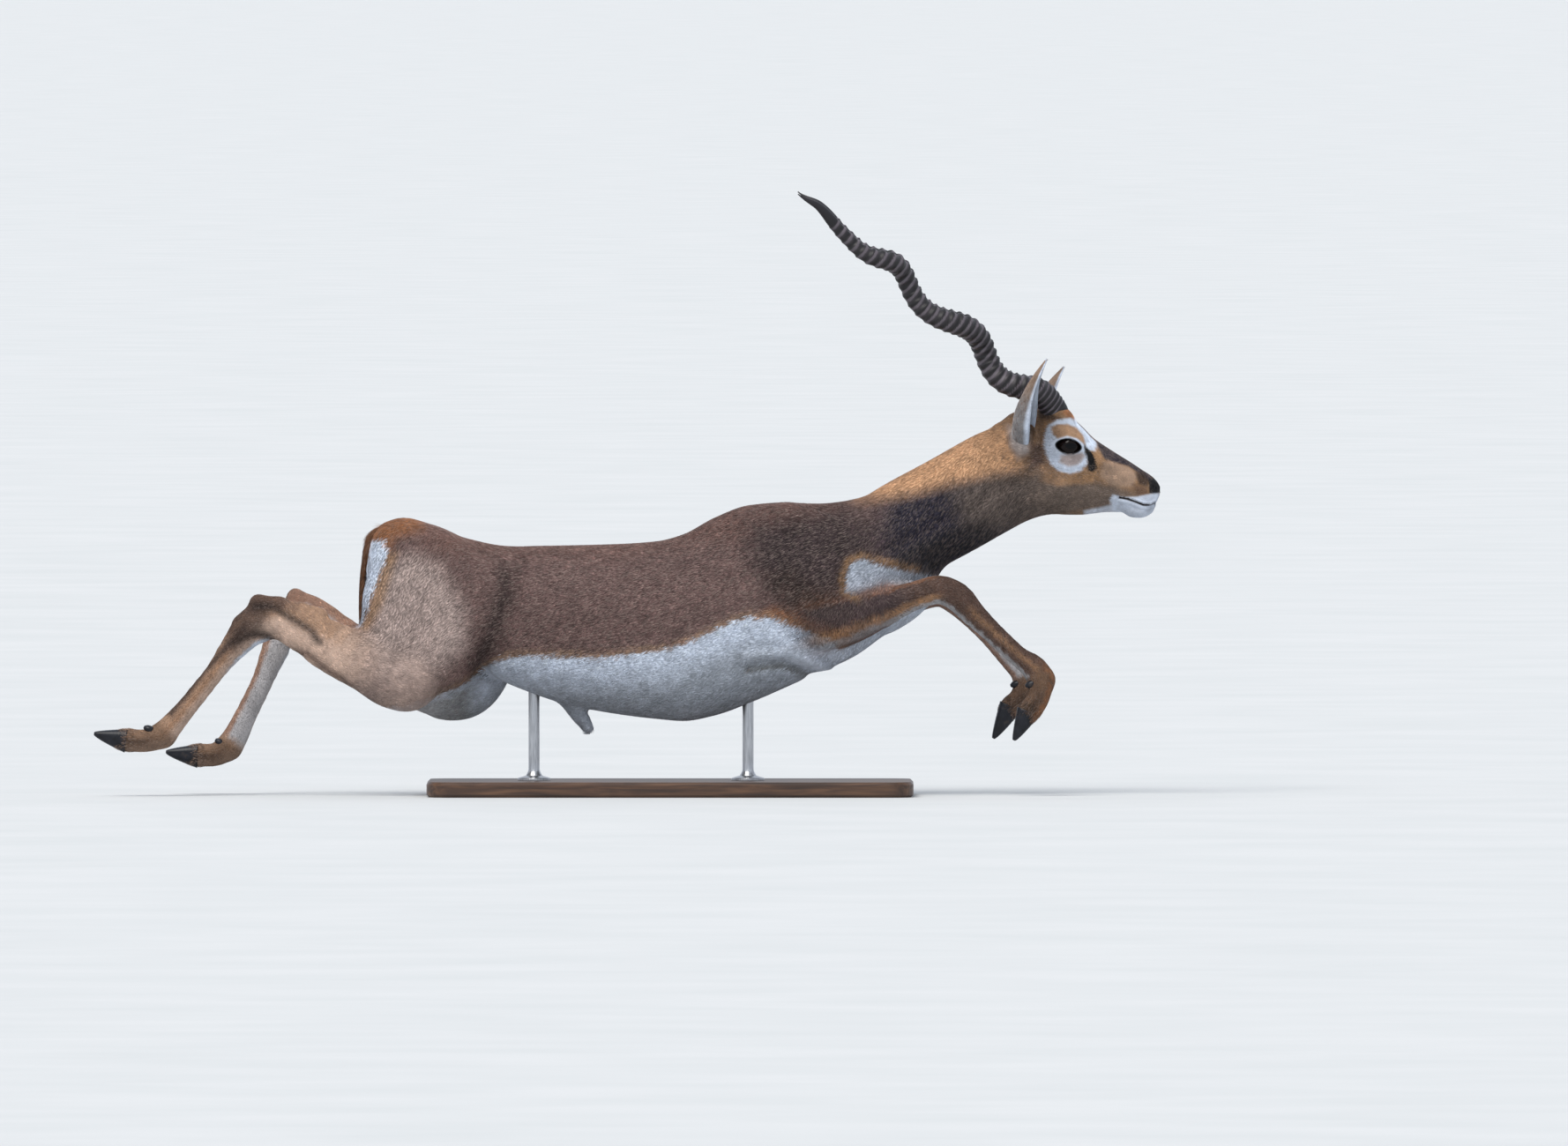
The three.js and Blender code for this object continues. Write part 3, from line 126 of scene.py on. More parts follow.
def sectioned(p, rows, widest, above, below):
    x, y, z = p.T
    at, top, bottom, half = np.array(rows, float).T
    here = np.clip(x, at[0], at[-1])
    t, b, w = (through(at, values)(here) for values in (top, bottom, half))
    middle = b + widest * (t - b)
    up = z > middle
    n = np.where(up, above, below)
    reach = np.where(up, t - middle, middle - b)
    q = ((np.abs(y) / w) ** n + (np.abs(z - middle) / reach) ** n) ** (1 / n)
    plane = np.sqrt(y * y + (z - middle) ** 2) * (1 - 1 / np.maximum(q, 1e-3))
    return np.where(x == here, plane, np.sqrt(np.maximum(plane, 0) ** 2 + (x - here) ** 2))

def links_of(p, rows, side):
    x, y, z = p.T
    for a, b in zip(rows, rows[1:]):
        long = math.hypot(b[0] - a[0], b[1] - a[1])
        ux, uz = (b[0] - a[0]) / long, (b[1] - a[1]) / long
        t = np.clip(((x - a[0]) * ux + (z - a[1]) * uz) / long, 0, 1)
        cx, cz, cy, deep, wide = (a[i] + (b[i] - a[i]) * t for i in range(5))
        dx, dy, dz = x - cx, y - side * cy, z - cz
        plane = np.hypot(dx, dz)
        q = np.hypot(plane / deep, dy / wide)
        field = np.hypot(plane, dy) * (1 - 1 / np.maximum(q, 1e-3))
        yield field, t, (ux, uz), (dz * ux - dx * uz) / deep, side * dy / wide

def chain(p, rows, side, soft):
    rows = refined(rows)
    wide = rows[:, 3:].max() + 60
    low = [rows[:, 0].min() - wide, side * rows[:, 2].mean() - wide, rows[:, 1].min() - wide]
    high = [rows[:, 0].max() + wide, side * rows[:, 2].mean() + wide, rows[:, 1].max() + wide]
    def form(q):
        best = None
        for field, *_ in links_of(q, rows, side):
            best = field if best is None else soft_join(soft, best, field)
        return best
    return near(p, low, high, form)

# %% Sizes of the trunk, head and neck, in mm
TRUNK = [  # x, top, bottom, half width
    (-436, 345, 282, 30), (-429, 377, 262, 52), (-411, 395, 240, 68), (-384, 402, 215, 80),
    (-343, 392, 205, 88), (-292, 372, 188, 90), (-229, 361, 158, 91), (-152, 362, 131, 98),
    (-76, 364, 116, 104), (-19, 368, 109, 106), (19, 378, 106, 105), (64, 402, 114, 101),
    (114, 420, 132, 96), (165, 424, 154, 90), (216, 422, 177, 82), (262, 420, 197, 70),
    (305, 400, 225, 58), (350, 360, 252, 43), (380, 325, 280, 22)]
HEAD = [
    (474, 532, 430, 30), (490, 549, 416, 37), (510, 557, 407, 44), (533, 560, 406, 47),
    (553, 557, 405, 49), (572, 549, 404, 49), (591, 534, 404, 44), (610, 515, 406, 36),
    (629, 502, 408, 30), (648, 490, 408, 26.5), (664, 480, 403, 24.5), (679, 470, 404, 23.5),
    (692, 461.5, 411, 21.5), (701, 453, 425, 16), (705, 446, 434, 8)]
NECK = [  # x, z, y, half depth, half width
    (262, 338, 0, 70.5, 72.5), (300, 355, 0, 69.5, 66.5), (342, 384, 0, 69.5, 59.5),
    (403, 417, 0, 69.5, 52.5), (463, 451, 0, 69.5, 47.5), (514, 478, 0, 62.5, 43.5)]
TAIL = [
    (-408, 384, 0, 10, 16), (-426, 372, 0, 9, 19), (-437, 345, 0, 6, 21),
    (-442, 305, 0, 5.5, 21), (-444, 270, 0, 4.5, 15), (-445, 240, 0, 2, 5)]
SHEATH = [(-150, 142, 0, 12, 12), (-132, 118, 0, 11, 11), (-119, 100, 0, 7.5, 7.5),
          (-115, 91, 0, 3.5, 3.5)]

# %% Sizes of the legs: x, z, y, half depth, half width
LEGS = {
    "fore_right": [
        (222, 247, 66, 35.7, 27.6), (273, 262, 70, 29.7, 22.6), (315, 275, 71, 24.7, 19.1),
        (357, 291, 69, 20.2, 16.6), (387, 298, 67, 20.2, 18.1), (412, 288, 66, 20.7, 18.1),
        (436, 263, 65, 17.7, 14.6), (470, 231, 63, 15.2, 11.6), (502, 202, 62, 15.2, 11.6),
        (524, 184, 61, 18.2, 14.6), (534, 168, 61, 19.2, 16.6)],
    "fore_left": [
        (216, 240, 66, 35.7, 27.6), (273, 255, 70, 29.7, 22.6), (317, 269, 71, 24.7, 19.1),
        (358, 285, 69, 20.2, 16.6), (388, 292, 67, 20.7, 18.1), (411, 281, 66, 20.7, 18.1),
        (434, 259, 65, 17.7, 14.6), (466, 224, 63, 15.2, 11.6), (493, 192, 62, 15.2, 11.6),
        (508, 176, 61, 17.2, 14.6), (514, 164, 61, 18.2, 16.6)],
    "hind_right": [
        (-378, 169, 72, 46.7, 34.6), (-425, 187, 72, 41.7, 30.6), (-476, 210, 69, 37.7, 25.6),
        (-527, 236, 65, 31.7, 20.6), (-562, 253, 63, 28.7, 18.6), (-596, 247, 61, 27.7, 19.1),
        (-625, 219, 60, 20.7, 16.1), (-660, 173, 59, 14.2, 12.6), (-692, 132, 58, 14.2, 12.6),
        (-714, 106, 58, 16.2, 15.1), (-729, 89, 58, 18.2, 17.1)],
    "hind_left": [
        (-328, 158, 72, 48.7, 34.6), (-378, 172, 72, 40.7, 30.6), (-436, 202, 69, 32.7, 25.6),
        (-488, 235, 65, 26.7, 20.6), (-522, 258, 63, 25.7, 18.6), (-548, 252, 61, 27.7, 19.1),
        (-567, 214, 60, 20.7, 16.1), (-590, 159, 59, 15.2, 12.6), (-613, 112, 58, 15.7, 12.6),
        (-626, 85, 58, 17.7, 15.1), (-636, 69, 58, 18.7, 17.1)]}
HEELS = {"hind_right": ((-592, 279), (-505, 258)), "hind_left": ((-540, 285), (-470, 238))}
FEET = {  # fetlock, pastern, coronet, tip, the way the sole faces, y, dewclaw
    "fore_right": ((535, 168), (529, 141), (512, 117), (497, 80), (-0.93, 0.37), 61, (514, 160)),
    "fore_left": ((514, 164), (507, 142), (487, 122), (468, 80), (-0.93, 0.37), 61, (493, 158)),
    "hind_right": ((-729, 88), (-758, 80), (-789, 82), (-829, 88), (0.1, 0.99), 58, (-754, 99)),
    "hind_left": ((-636, 68), (-660, 57), (-688, 57), (-727, 59), (0.1, 0.99), 58, (-653, 78))}

def side_of(name):
    return -1 if name.endswith("right") else 1

# %% The forms of the whole animal
def hips_form(p):
    trunk = soft_join(34, sectioned(p, TRUNK, 0.52, 2.05, 2.25),
                      ball(p, (205, 62, 330), (74, 26, 96), 62),
                      ball(p, (262, 60, 262), (64, 26, 42), 18),
                      ball(p, (150, 52, 375), (60, 24, 40), 20),
                      ball(p, (-345, 52, 330), (72, 36, 52), -30))
    right = soft_join(26, ball(p, (-352, -54, 262), (92, 42, 112), 12, False),
                      ball(p, (-318, -62, 232), (58, 34, 84), -32, False),
                      ball(p, (-404, -60, 192), (54, 34, 66), 20, False))
    left = soft_join(26, ball(p, (-338, 54, 258), (98, 42, 112), 4, False),
                     ball(p, (-298, 60, 204), (75, 36, 98), -10, False),
                     ball(p, (-386, 60, 214), (56, 34, 62), 34, False))
    return soft_join(22, trunk, right, left)

def skull_form(p):
    return soft_join(12, sectioned(p, HEAD, 0.62, 2.2, 1.9),
                     ball(p, (571, 29, 521), (30, 21, 14), -20),
                     ball(p, (572, 36, 504), (27, 19, 19), -8),
                     ball(p, (545, 32, 450), (34, 14, 34), 25),
                     ball(p, (606, 27, 492), (30, 11, 9), -34),
                     ball(p, (508, 44, 512), (20, 17, 23), -20),
                     ball(p, (558, 23, 547), (26, 20, 17), -30),
                     ball(p, (678, 0, 411), (18, 16, 9), 8, False),
                     ball(p, (682, 15, 434), (20, 9, 12), -20))

def leg_form(p, name):
    side = side_of(name)
    fetlock, pastern, coronet, _, _, y, _ = FEET[name]
    leg = chain(p, LEGS[name], side, 2)
    if name in HEELS:
        heel, up = HEELS[name]
        leg = soft_join(12, leg, chain(p, [(*heel, 62, 13, 12), (*up, 65, 15, 10)], side, 8))
    toes = [chain(p, [(*fetlock, y + 4 * s, 17, 14), (*pastern, y + 7.5 * s, 14.5, 10.5),
                      (*coronet, y + 10.5 * s, 15, 8.3)], side, 6) for s in (-1, 1)]
    return soft_join(6, leg, soft_join(6, *toes))

def groups_of(p):
    return {"trunk": near(p, (-560, -220, 0), (480, 220, 520), hips_form),
            "neck": chain(p, NECK, 1, 12),
            "head": near(p, (390, -130, 320), (790, 130, 640), skull_form),
            "sheath": chain(p, SHEATH, 1, 8),
            **{name: leg_form(p, name) for name in LEGS}}

def whole_form(g):
    flesh = soft_join(30, g["trunk"], soft_join(22, g["neck"], g["head"]))
    return soft_join(10, soft_join(16, flesh, *(g[name] for name in LEGS)), g["sheath"])

# %% [markdown]
# The skin starts as one closed mesh. The frame's flesh nodes are copied and joined, the
# sockets of eyes, horns, ears, tail, claws and rods are plugged with round primitives, and a
# voxel remesh melts it all into even quads. Sculpting by hand starts from such a mesh too.
# %% Small helpers for modelling
def only(*objects):
    bpy.ops.object.select_all(action="DESELECT")
    for o in objects:
        o.select_set(True)
    bpy.context.view_layer.objects.active = objects[0]

def edit(mode="EDIT"):
    bpy.ops.object.mode_set(mode=mode)

def use(piece, kind, **settings):
    only(piece)
    modifier = piece.modifiers.new(kind.lower(), kind)
    for key, value in settings.items():
        setattr(modifier, key, value)
    bpy.ops.object.modifier_apply(modifier=modifier.name)

def has(name, *words):
    return any(word in name for word in words)

def points_of(piece):
    values = np.empty(len(piece.data.vertices) * 3, np.float32)
    piece.data.vertices.foreach_get("co", values)
    return values.reshape(-1, 3) / MM

def place(piece, points):
    piece.data.vertices.foreach_set("co", (points * MM).astype(np.float32).ravel())
    piece.data.update()

# %% Join the flesh and remesh it
flesh_nodes = [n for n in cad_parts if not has(n, "horn", "eye", "stand", "hoof", "claw")]
copies = []
for node in (n for n in flesh_nodes if not has(n, "ear_", "tail")):
    copies.append(bpy.data.objects.new("part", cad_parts[node].data.copy()))
    bpy.context.collection.objects.link(copies[-1])
PLUGS = [  # centre, radius, for both sides
    ((573, 37, 504), 18.8), ((560, 26, 542), 21), ((548, 24, 534), 16), ((509, 47, 507), 17),
    ((519, 47, 512), 14), ((697, 13, 446), 8), ((-412, 0, 378), 16), ((-424, 0, 352), 15),
    ((-404, 0, 385), 12), ((-196, 0, 158), 12), ((112, 0, 150), 12)]
plugs = [(x, side * y, z, radius) for (x, y, z), radius in PLUGS for side in (-1, 1)]
for name, (fetlock, pastern, coronet, tip, sole, y, dewclaw) in FEET.items():
    plugs += [(fetlock[0], side_of(name) * y, fetlock[1], 17)]
    plugs += [(x, side_of(name) * (y + out * s), z, 10.5) for s in (-1, 1)
              for (x, z), out in ((fetlock, 7), (pastern, 6), (coronet, 8))]
    heart = np.array(fetlock) * 0.35 + np.array(dewclaw) * 0.65
    plugs += [(heart[0], side_of(name) * (y + 8 * s), heart[1], 8) for s in (-1, 1)]
for x, y, z, radius in plugs:
    bpy.ops.mesh.primitive_ico_sphere_add(subdivisions=3, radius=radius * MM,
                                          location=(x * MM, y * MM, z * MM))
    copies.append(bpy.context.object)
only(*copies)
bpy.ops.object.join()
skin = bpy.context.object
skin.name = skin.data.name = "skin"
bpy.ops.object.transform_apply(location=True, rotation=True, scale=True)
edit()
bpy.ops.mesh.select_all(action="SELECT")
bpy.ops.mesh.remove_doubles(threshold=1e-5)
edit("OBJECT")
VOXEL = 5.1  # mm
use(skin, "REMESH", mode="VOXEL", voxel_size=VOXEL * MM)
print("skin after remesh:", len(skin.data.polygons), "faces")

# %% [markdown]
# The remesh keeps the solids' facets, so every point is now drawn on to the forms, sunk by the
# depth of the coat: about 2 mm on the body, less than 1 mm on the face and legs. The first
# draw uses the plain forms. It is followed by finer faces on the head and feet, and a second
# draw on forms that have the muscles, tendons, lids, lips and nostrils.
# %% Draw points on to a form
COAT_DEPTH = {"trunk": 2.2, "neck": 2.2, "head": 0.8, "legs": 0.5}

def weights_of(g):
    fields = {"trunk": np.minimum(g["trunk"], g["sheath"]), "neck": g["neck"],
              "head": g["head"], "legs": np.minimum.reduce([g[name] for name in LEGS])}
    least = np.minimum.reduce(list(fields.values()))
    share = {k: np.exp(-(f - least) / 9) for k, f in fields.items()}
    total = sum(share.values())
    return {k: s / total for k, s in share.items()}

def sunk_form(p):
    g = groups_of(p)
    share = weights_of(g)
    return whole_form(g) + sum(share[k] * depth for k, depth in COAT_DEPTH.items())

def draw_on(form, points, rounds, most):
    for _ in range(rounds):
        here = form(points)
        slope = np.stack([form(points + step) - here for step in 0.4 * np.eye(3)], 1) / 0.4
        steep = np.maximum((slope ** 2).sum(1), 0.3)
        points = points - slope * np.clip(here / steep, -most, most)[:, None]
    return points

place(skin, draw_on(sunk_form, points_of(skin), 4, 3.0))
use(skin, "SMOOTH", factor=0.5, iterations=3)
place(skin, draw_on(sunk_form, points_of(skin), 1, 2.0))
print("skin drawn on to the forms")

# %% [markdown]
# Ears, tail, horns, hooves and rods are all wrapped grids. A flat grid is added with the wanted
# number of rings and sides, its points are placed round the shape's own middle line, and the
# seam is merged and the ends are filled. One helper makes them all.
# %% Wrap a grid round a middle line
def wrapped(name, rings, sides, where):
    bpy.ops.object.select_all(action="DESELECT")
    bpy.ops.mesh.primitive_grid_add(x_subdivisions=sides, y_subdivisions=rings, size=1)
    piece = bpy.context.object
    piece.name = piece.data.name = name
    flat = points_of(piece) * MM
    place(piece, where(flat[:, 1] + 0.5, 2 * np.pi * (flat[:, 0] + 0.5)))
    edit()
    bpy.ops.mesh.select_all(action="SELECT")
    bpy.ops.mesh.remove_doubles(threshold=5e-6)
    bpy.ops.mesh.fill_holes(sides=0)
    bpy.ops.mesh.normals_make_consistent(inside=False)
    edit("OBJECT")
    bpy.ops.object.shade_smooth()
    return piece

# %% [markdown]
# Each ear is a tall leaf of skin curled into a cup: wide at the middle, closed to a tube at the
# root and pointed at the tip. Its outer wall and its inner wall are one loop of the grid, which
# runs out along the back, over the thin edge and home along the inside.
# %% Ears
EARS = {"right": ((504, -49, 504), (541, -126, 628), (0.97, -0.22, -0.1)),
        "left": ((519, 48, 501), (567, 122, 614), (0.93, 0.36, -0.2))}
EAR_AT = (0, 0.13, 0.35, 0.6, 0.8, 0.93, 1)
ear_radius = through(EAR_AT, (9, 18, 22.5, 18.5, 12, 6, 2.2))
ear_half = through(EAR_AT, np.radians((150, 130, 104, 92, 84, 78, 70)))

def ear_axes(which):
    root, tip, facing = (np.array(v, float) for v in EARS[which])
    way = unit(tip - root)
    facing = unit(facing - way * (facing @ way))
    return root, tip, way, facing, np.cross(way, facing)

def ear_points(which):
    root, tip, way, facing, side = ear_axes(which)
    def where(t, a):
        u = a / np.pi
        inner = u > 1
        share = np.where(inner, 3 - 2 * u, 2 * u - 1)
        wall = (3.0 - 1.4 * t) * np.sqrt(np.clip(1 - share ** 4, 0, 1)) + 0.2
        r = np.maximum(ear_radius(t) - np.where(inner, wall, 0.2), 0.3)
        turn = share * (ear_half(t) - 0.02)
        roll = 1.2 * np.sin(9 * t + 2) * share ** 4 * smooth(0.1, 0.4, t)
        centre = root + (tip - root) * t[:, None]
        return (centre - facing * (r * np.cos(turn) + roll)[:, None]
                + side * (r * np.sin(turn))[:, None])
    return where

ears = [wrapped("ear_" + which, 40, 48, ear_points(which)) for which in EARS]
print("ears:", [len(e.data.polygons) for e in ears])

# %% [markdown]
# The tail hangs flat against the white rump. It is a strap that is round at the root and thin
# and pointed at the end, and its hair makes most of its width.
# %% Tail
def tail_points(t, a):
    rows = refined(TAIL, 8)
    row = np.stack([np.interp(t, np.linspace(0, 1, len(rows)), column) for column in rows.T], 1)
    ahead = unit(np.stack([np.interp(t + 0.02, np.linspace(0, 1, len(rows)), rows[:, i])
                           - np.interp(t - 0.02, np.linspace(0, 1, len(rows)), rows[:, i])
                           for i in (0, 1)], 1))
    deep = (row[:, 3] - 1.5) * smooth(-0.25, 0.05, t) * np.cos(a)
    wide = (row[:, 4] - 2.5) * smooth(-0.25, 0.05, t) * np.sin(a)
    return np.stack([row[:, 0] - ahead[:, 1] * deep, wide, row[:, 1] + ahead[:, 0] * deep], 1)

tail = wrapped("tail_core", 40, 24, tail_points)
print("tail:", len(tail.data.polygons), "faces")

# %% [markdown]
# Ears and tail join the skin now, as parts of the same mesh, so that one unwrap covers it all.
# Each point keeps a number that says what it belongs to, because ears and tail have their
# final shape and stay out of the second draw.
# %% Join ears and tail to the skin, unwrap it, and refine the head and feet
for piece, kind in ((skin, 0), (tail, 1), (ears[0], 2), (ears[1], 3)):
    piece.data.attributes.new("kind", "FLOAT", "POINT").data.foreach_set(
        "value", np.full(len(piece.data.vertices), kind, np.float32))
only(skin, tail, *ears)
bpy.ops.object.join()
bpy.ops.object.shade_smooth()
edit()
bpy.ops.mesh.select_all(action="SELECT")
bpy.ops.mesh.uv_texture_add()
bpy.ops.uv.smart_project(angle_limit=math.radians(66), island_margin=0.003)
edit("OBJECT")
skin.data.uv_layers[0].name = "OFBake"

def kinds_of(piece):
    values = np.empty(len(piece.data.vertices), np.float32)
    piece.data.attributes["kind"].data.foreach_get("value", values)
    return np.round(values).astype(int)

def refine(piece, wanted):
    mesh = piece.data
    centre = np.empty(len(mesh.polygons) * 3, np.float32)
    mesh.polygons.foreach_get("center", centre)
    first = np.array([poly.vertices[0] for poly in mesh.polygons])
    pick = wanted(centre.reshape(-1, 3) / MM) & (kinds_of(piece)[first] == 0)
    mesh.vertices.foreach_set("select", np.zeros(len(mesh.vertices), bool))
    mesh.edges.foreach_set("select", np.zeros(len(mesh.edges), bool))
    mesh.polygons.foreach_set("select", pick)
    only(piece)
    bpy.context.tool_settings.mesh_select_mode = (False, False, True)
    edit()
    bpy.ops.mesh.subdivide(number_cuts=1)
    edit("OBJECT")

def beyond(c, at, radius):
    return ((c - np.array(at)) ** 2).sum(1) < radius ** 2

def on_head_or_feet(c):
    feet = [beyond(c, (foot[1][0], side_of(name) * foot[5], foot[1][1]), 62)
            for name, foot in FEET.items()]
    return (c[:, 0] > 478) & (c[:, 2] > 330) | np.logical_or.reduce(feet)

def on_features(c):
    both = mirrored(c)
    return (beyond(both, (576, 46, 502), 36) | (c[:, 0] > 640) & (c[:, 2] > 330)
            | beyond(both, (604, 34, 486), 18))

refine(skin, on_head_or_feet)
refine(skin, on_features)
kinds = kinds_of(skin)
print("skin refined:", len(skin.data.polygons), "faces")

# %% [markdown]
# Marks and folds are read off the side view, where the animal was seen. A place on the picture
# becomes millimetres by one scale, 1.27 mm a pixel, and a mark is a line or an outline there.
# Distance to the line gives a groove its soft sides, and an outline gives a colour its edge.
# %% Lines and outlines in the side view
def seen(*places):
    return [((px - 760) * 1.27, (902.5 - py) * 1.27) for px, py in places]

def beside(p, line):
    best = np.full(len(p), 1e9)
    for (ax, az), (bx, bz) in zip(line, line[1:]):
        dx, dz = bx - ax, bz - az
        t = np.clip(((p[:, 0] - ax) * dx + (p[:, 2] - az) * dz) / (dx * dx + dz * dz), 0, 1)
        best = np.minimum(best, (p[:, 0] - ax - t * dx) ** 2 + (p[:, 2] - az - t * dz) ** 2)
    return np.sqrt(best)

def within(p, outline, soft):
    x, z = p[:, 0], p[:, 2]
    ring = outline + outline[:1]
    odd = np.zeros(len(p), bool)
    for (ax, az), (bx, bz) in zip(ring, ring[1:]):
        if az != bz:
            odd ^= ((az > z) != (bz > z)) & (x < (bx - ax) * (z - az) / (bz - az) + ax)
    gap = beside(p, ring)
    return smooth(-soft, soft, np.where(odd, gap, -gap))

# %% Folds and muscles: how deep, how wide, and where
FOLDS = [
    (4.5, 13, seen((590, 636), (582, 690), (568, 730), (545, 764))),
    (3.0, 16, seen((905, 590), (880, 640), (868, 690))),
    (3.5, 10, seen((878, 705), (915, 730), (960, 736), (1000, 716))),
    (3.5, 11, seen((952, 600), (962, 645), (948, 682))),
    (3.0, 10, seen((1150, 548), (1075, 592), (990, 630))),
    (-4.5, 8, seen((850, 745), (890, 740), (918, 752), (938, 759))),
    (4.5, 8, seen((850, 756), (890, 751), (918, 763), (938, 768))),
    (-2.5, 14, seen((1130, 570), (1060, 612), (1000, 645))),
    (2.2, 9, seen((306, 687), (331, 700), (353, 713), (372, 733))),
    (2.6, 7.5, seen((270, 728), (282, 720), (294, 718), (307, 722), (318, 732), (344, 742))),
    (-2.0, 8, seen((300, 706), (330, 714), (360, 738))),
    (2.5, 12, seen((486, 640), (474, 700), (446, 752))),
    (2.6, 7.5, seen((371, 700), (345, 690), (332, 682))),
    (1.6, 6, seen((1128, 694), (1166, 742))), (1.5, 6, seen((262, 712), (212, 800))),
    (1.6, 6, seen((1062, 668), (1020, 690), (980, 706))),
    (1.8, 6, seen((1182, 572), (1212, 562), (1226, 544))),
    (1.4, 5, seen((1230, 548), (1262, 556))), (1.4, 3, seen((1228, 530), (1214, 536), (1198, 531)))]

def folds(p):
    depth = np.zeros(len(p))
    for deep, wide, line in FOLDS:
        depth += deep * np.exp(-(beside(p, line) / wide) ** 2)
    return depth

# %% [markdown]
# The face needs its openings. The eye looks out of a slit with a raised rim, a deep scent
# gland lies in front of it, the nostril is a comma, and the lips meet in a thin line. Each is
# a ball or a thin tube that is taken from the form or joined to it.
# %% Openings, lids and lips
def tube(p, line, radius):
    best = np.full(len(p), 1e9)
    for a, b in zip(line, line[1:]):
        way = b - a
        t = np.clip(((p - a) @ way) / (way @ way), 0, 1)
        best = np.minimum(best, ((p - a - t[:, None] * way) ** 2).sum(1))
    return np.sqrt(best) - radius

def cut(soft, form, hollow):
    return -soft_join(soft, -form, hollow)

def on_skull(x, z):
    y = np.arange(0, 80, 0.25)
    field = skull_form(np.stack([np.full_like(y, x), y, np.full_like(y, z)], 1))
    return np.array([x, y[np.argmax(field >= 0)], z])

MOUTH = [(647, 429), (659, 427), (671, 422.5), (682, 418.5), (691, 418.5), (697, 421)]

def mouth_line(rise, out, reach):
    line = [on_skull(x, z + rise) + (0, out, 0) for x, z in MOUTH]
    return line + [np.array([MOUTH[-1][0] + reach, 0, MOUTH[-1][1] + rise + 1.5])]

EYE, EYE_RADIUS, SEAT_RADIUS = np.array([573, 37, 504]), 18, 16.6
GLAND = on_skull(606, 484.5)
LIPS = {rise: mouth_line(rise, -1.9, reach) for rise, reach in ((3.4, 1), (-3.4, -3))}
MOUTH_GAP = mouth_line(0, 0.6, 4)
turn = np.radians(np.arange(0, 361, 15))
u, v = 17.5 * np.cos(turn), 11 * np.sin(turn) * (1 - 0.25 * np.abs(np.cos(turn)))
c, s = math.cos(math.radians(8)), -math.sin(math.radians(8))
RIM = EYE + np.stack([u * c - v * s, np.sqrt(np.maximum(19 ** 2 - u * u - v * v, 36)),
                      u * s + v * c], 1)

def almond(p):
    x, z = p[:, 0] - EYE[0], p[:, 2] - EYE[2]
    across, up = x * c + z * s, z * c - x * s
    return 9 * (((across / 18.6) ** 2 + np.abs(up / 10.6) ** 1.7) ** 0.55 - 1)

def face(p, form):
    q = mirrored(p)
    lid = tube(q, RIM, 1.9)
    brow = tube(q, RIM[1:12] + (0, -2.5, 6.0), 2.2)
    form = soft_join(6, soft_join(3, form, lid), brow)
    form = soft_join(12, form, ball(p, (508, 57, 517), (17, 14, 22), -16))
    for line in LIPS.values():
        form = soft_join(2.5, form, tube(q, line, 2.6))
    form = cut(1.2, form, tube(q, MOUTH_GAP, 1.3))
    form = cut(2.0, form, ball(p, GLAND, (2.8, 5, 12.5), 17))
    form = cut(1.6, form, ball(p, (697, 15, 446.5), (8.5, 7, 3.6), -28))
    return cut(1.5, form, ball(p, (691, 18, 440), (4, 5, 2.2), 20))

def fine_form(p):
    form = sunk_form(p) + folds(p)
    head = (p[:, 0] > 470) & (p[:, 2] > 380)
    form[head] = face(p[head], form[head])
    return form

points = points_of(skin)
body = kinds == 0
points[body] = draw_on(fine_form, points[body], 4, 2.0)
nose = body & (points[:, 0] > 660) & (points[:, 2] > 380)
points[nose] = draw_on(fine_form, points[nose], 5, 1.5)

def seat_eyes(points):
    side = np.array([1.0, 0, 0]), np.array([0, 0, 1.0])
    off = mirrored(points) - EYE
    here = (np.linalg.norm(off, axis=1) < 30) & (off[:, 1] > -6)
    p = points[here]
    gap = almond(p)
    slope = sum(((almond(p + 0.2 * way) - gap) / 0.2)[:, None] * way for way in side)
    step = -slope * (gap / np.maximum((slope ** 2).sum(1), 0.05))[:, None]
    edge = np.abs(gap) < 0.75
    p[edge] += np.clip(step[edge], -1.6, 1.6)
    inside = gap <= -0.75
    across = (p[:, 0] - EYE[0]) ** 2 + (p[:, 2] - EYE[2]) ** 2
    under = EYE[1] + np.sqrt(np.maximum(SEAT_RADIUS ** 2 - across, 4))
    p[inside, 1] = (np.sign(p[:, 1]) * under)[inside]
    points[here] = p

seat_eyes(points)
place(skin, points)
print("fine skin:", int(body.sum()), "points drawn")

# %% [markdown]
# Eyes are balls of dark glass with a wide, lying pupil. The horns are corkscrews of about one
# and a half turns with 38 rings, each ring a low step that rises slowly and drops fast. Hooves
# are split in two narrow claws, flat below, with two small dewclaws behind them.
# %% Eyes
def eyeball(side):
    at = EYE * (1, side, 1)
    bpy.ops.object.select_all(action="DESELECT")
    bpy.ops.mesh.primitive_uv_sphere_add(segments=48, ring_count=32, radius=EYE_RADIUS * MM)
    ball_ = bpy.context.object
    ball_.name = ball_.data.name = "eyeball_" + ("right" if side < 0 else "left")
    p = points_of(ball_)
    way = unit(np.array([0.22, side, -0.02]))
    across, up = unit(np.cross(way, (0, 0, 1)) * side), np.array([0, 0, 1.0])
    out = p @ way / EYE_RADIUS
    bulge = 0.5 * smooth(0.6, 0.95, out)
    oval = np.hypot((p @ across) / 8.5, (p @ up) / 4.6)
    ball_.data.attributes.new("oval", "FLOAT", "POINT").data.foreach_set(
        "value", np.where(out > 0, oval, 9).astype(np.float32))
    place(ball_, at + p * (1 - 0.012 + bulge[:, None] / EYE_RADIUS))
    bpy.ops.object.shade_smooth()
    return ball_

eyes = [eyeball(side) for side in (-1, 1)]
print("eyes:", [e.name for e in eyes])

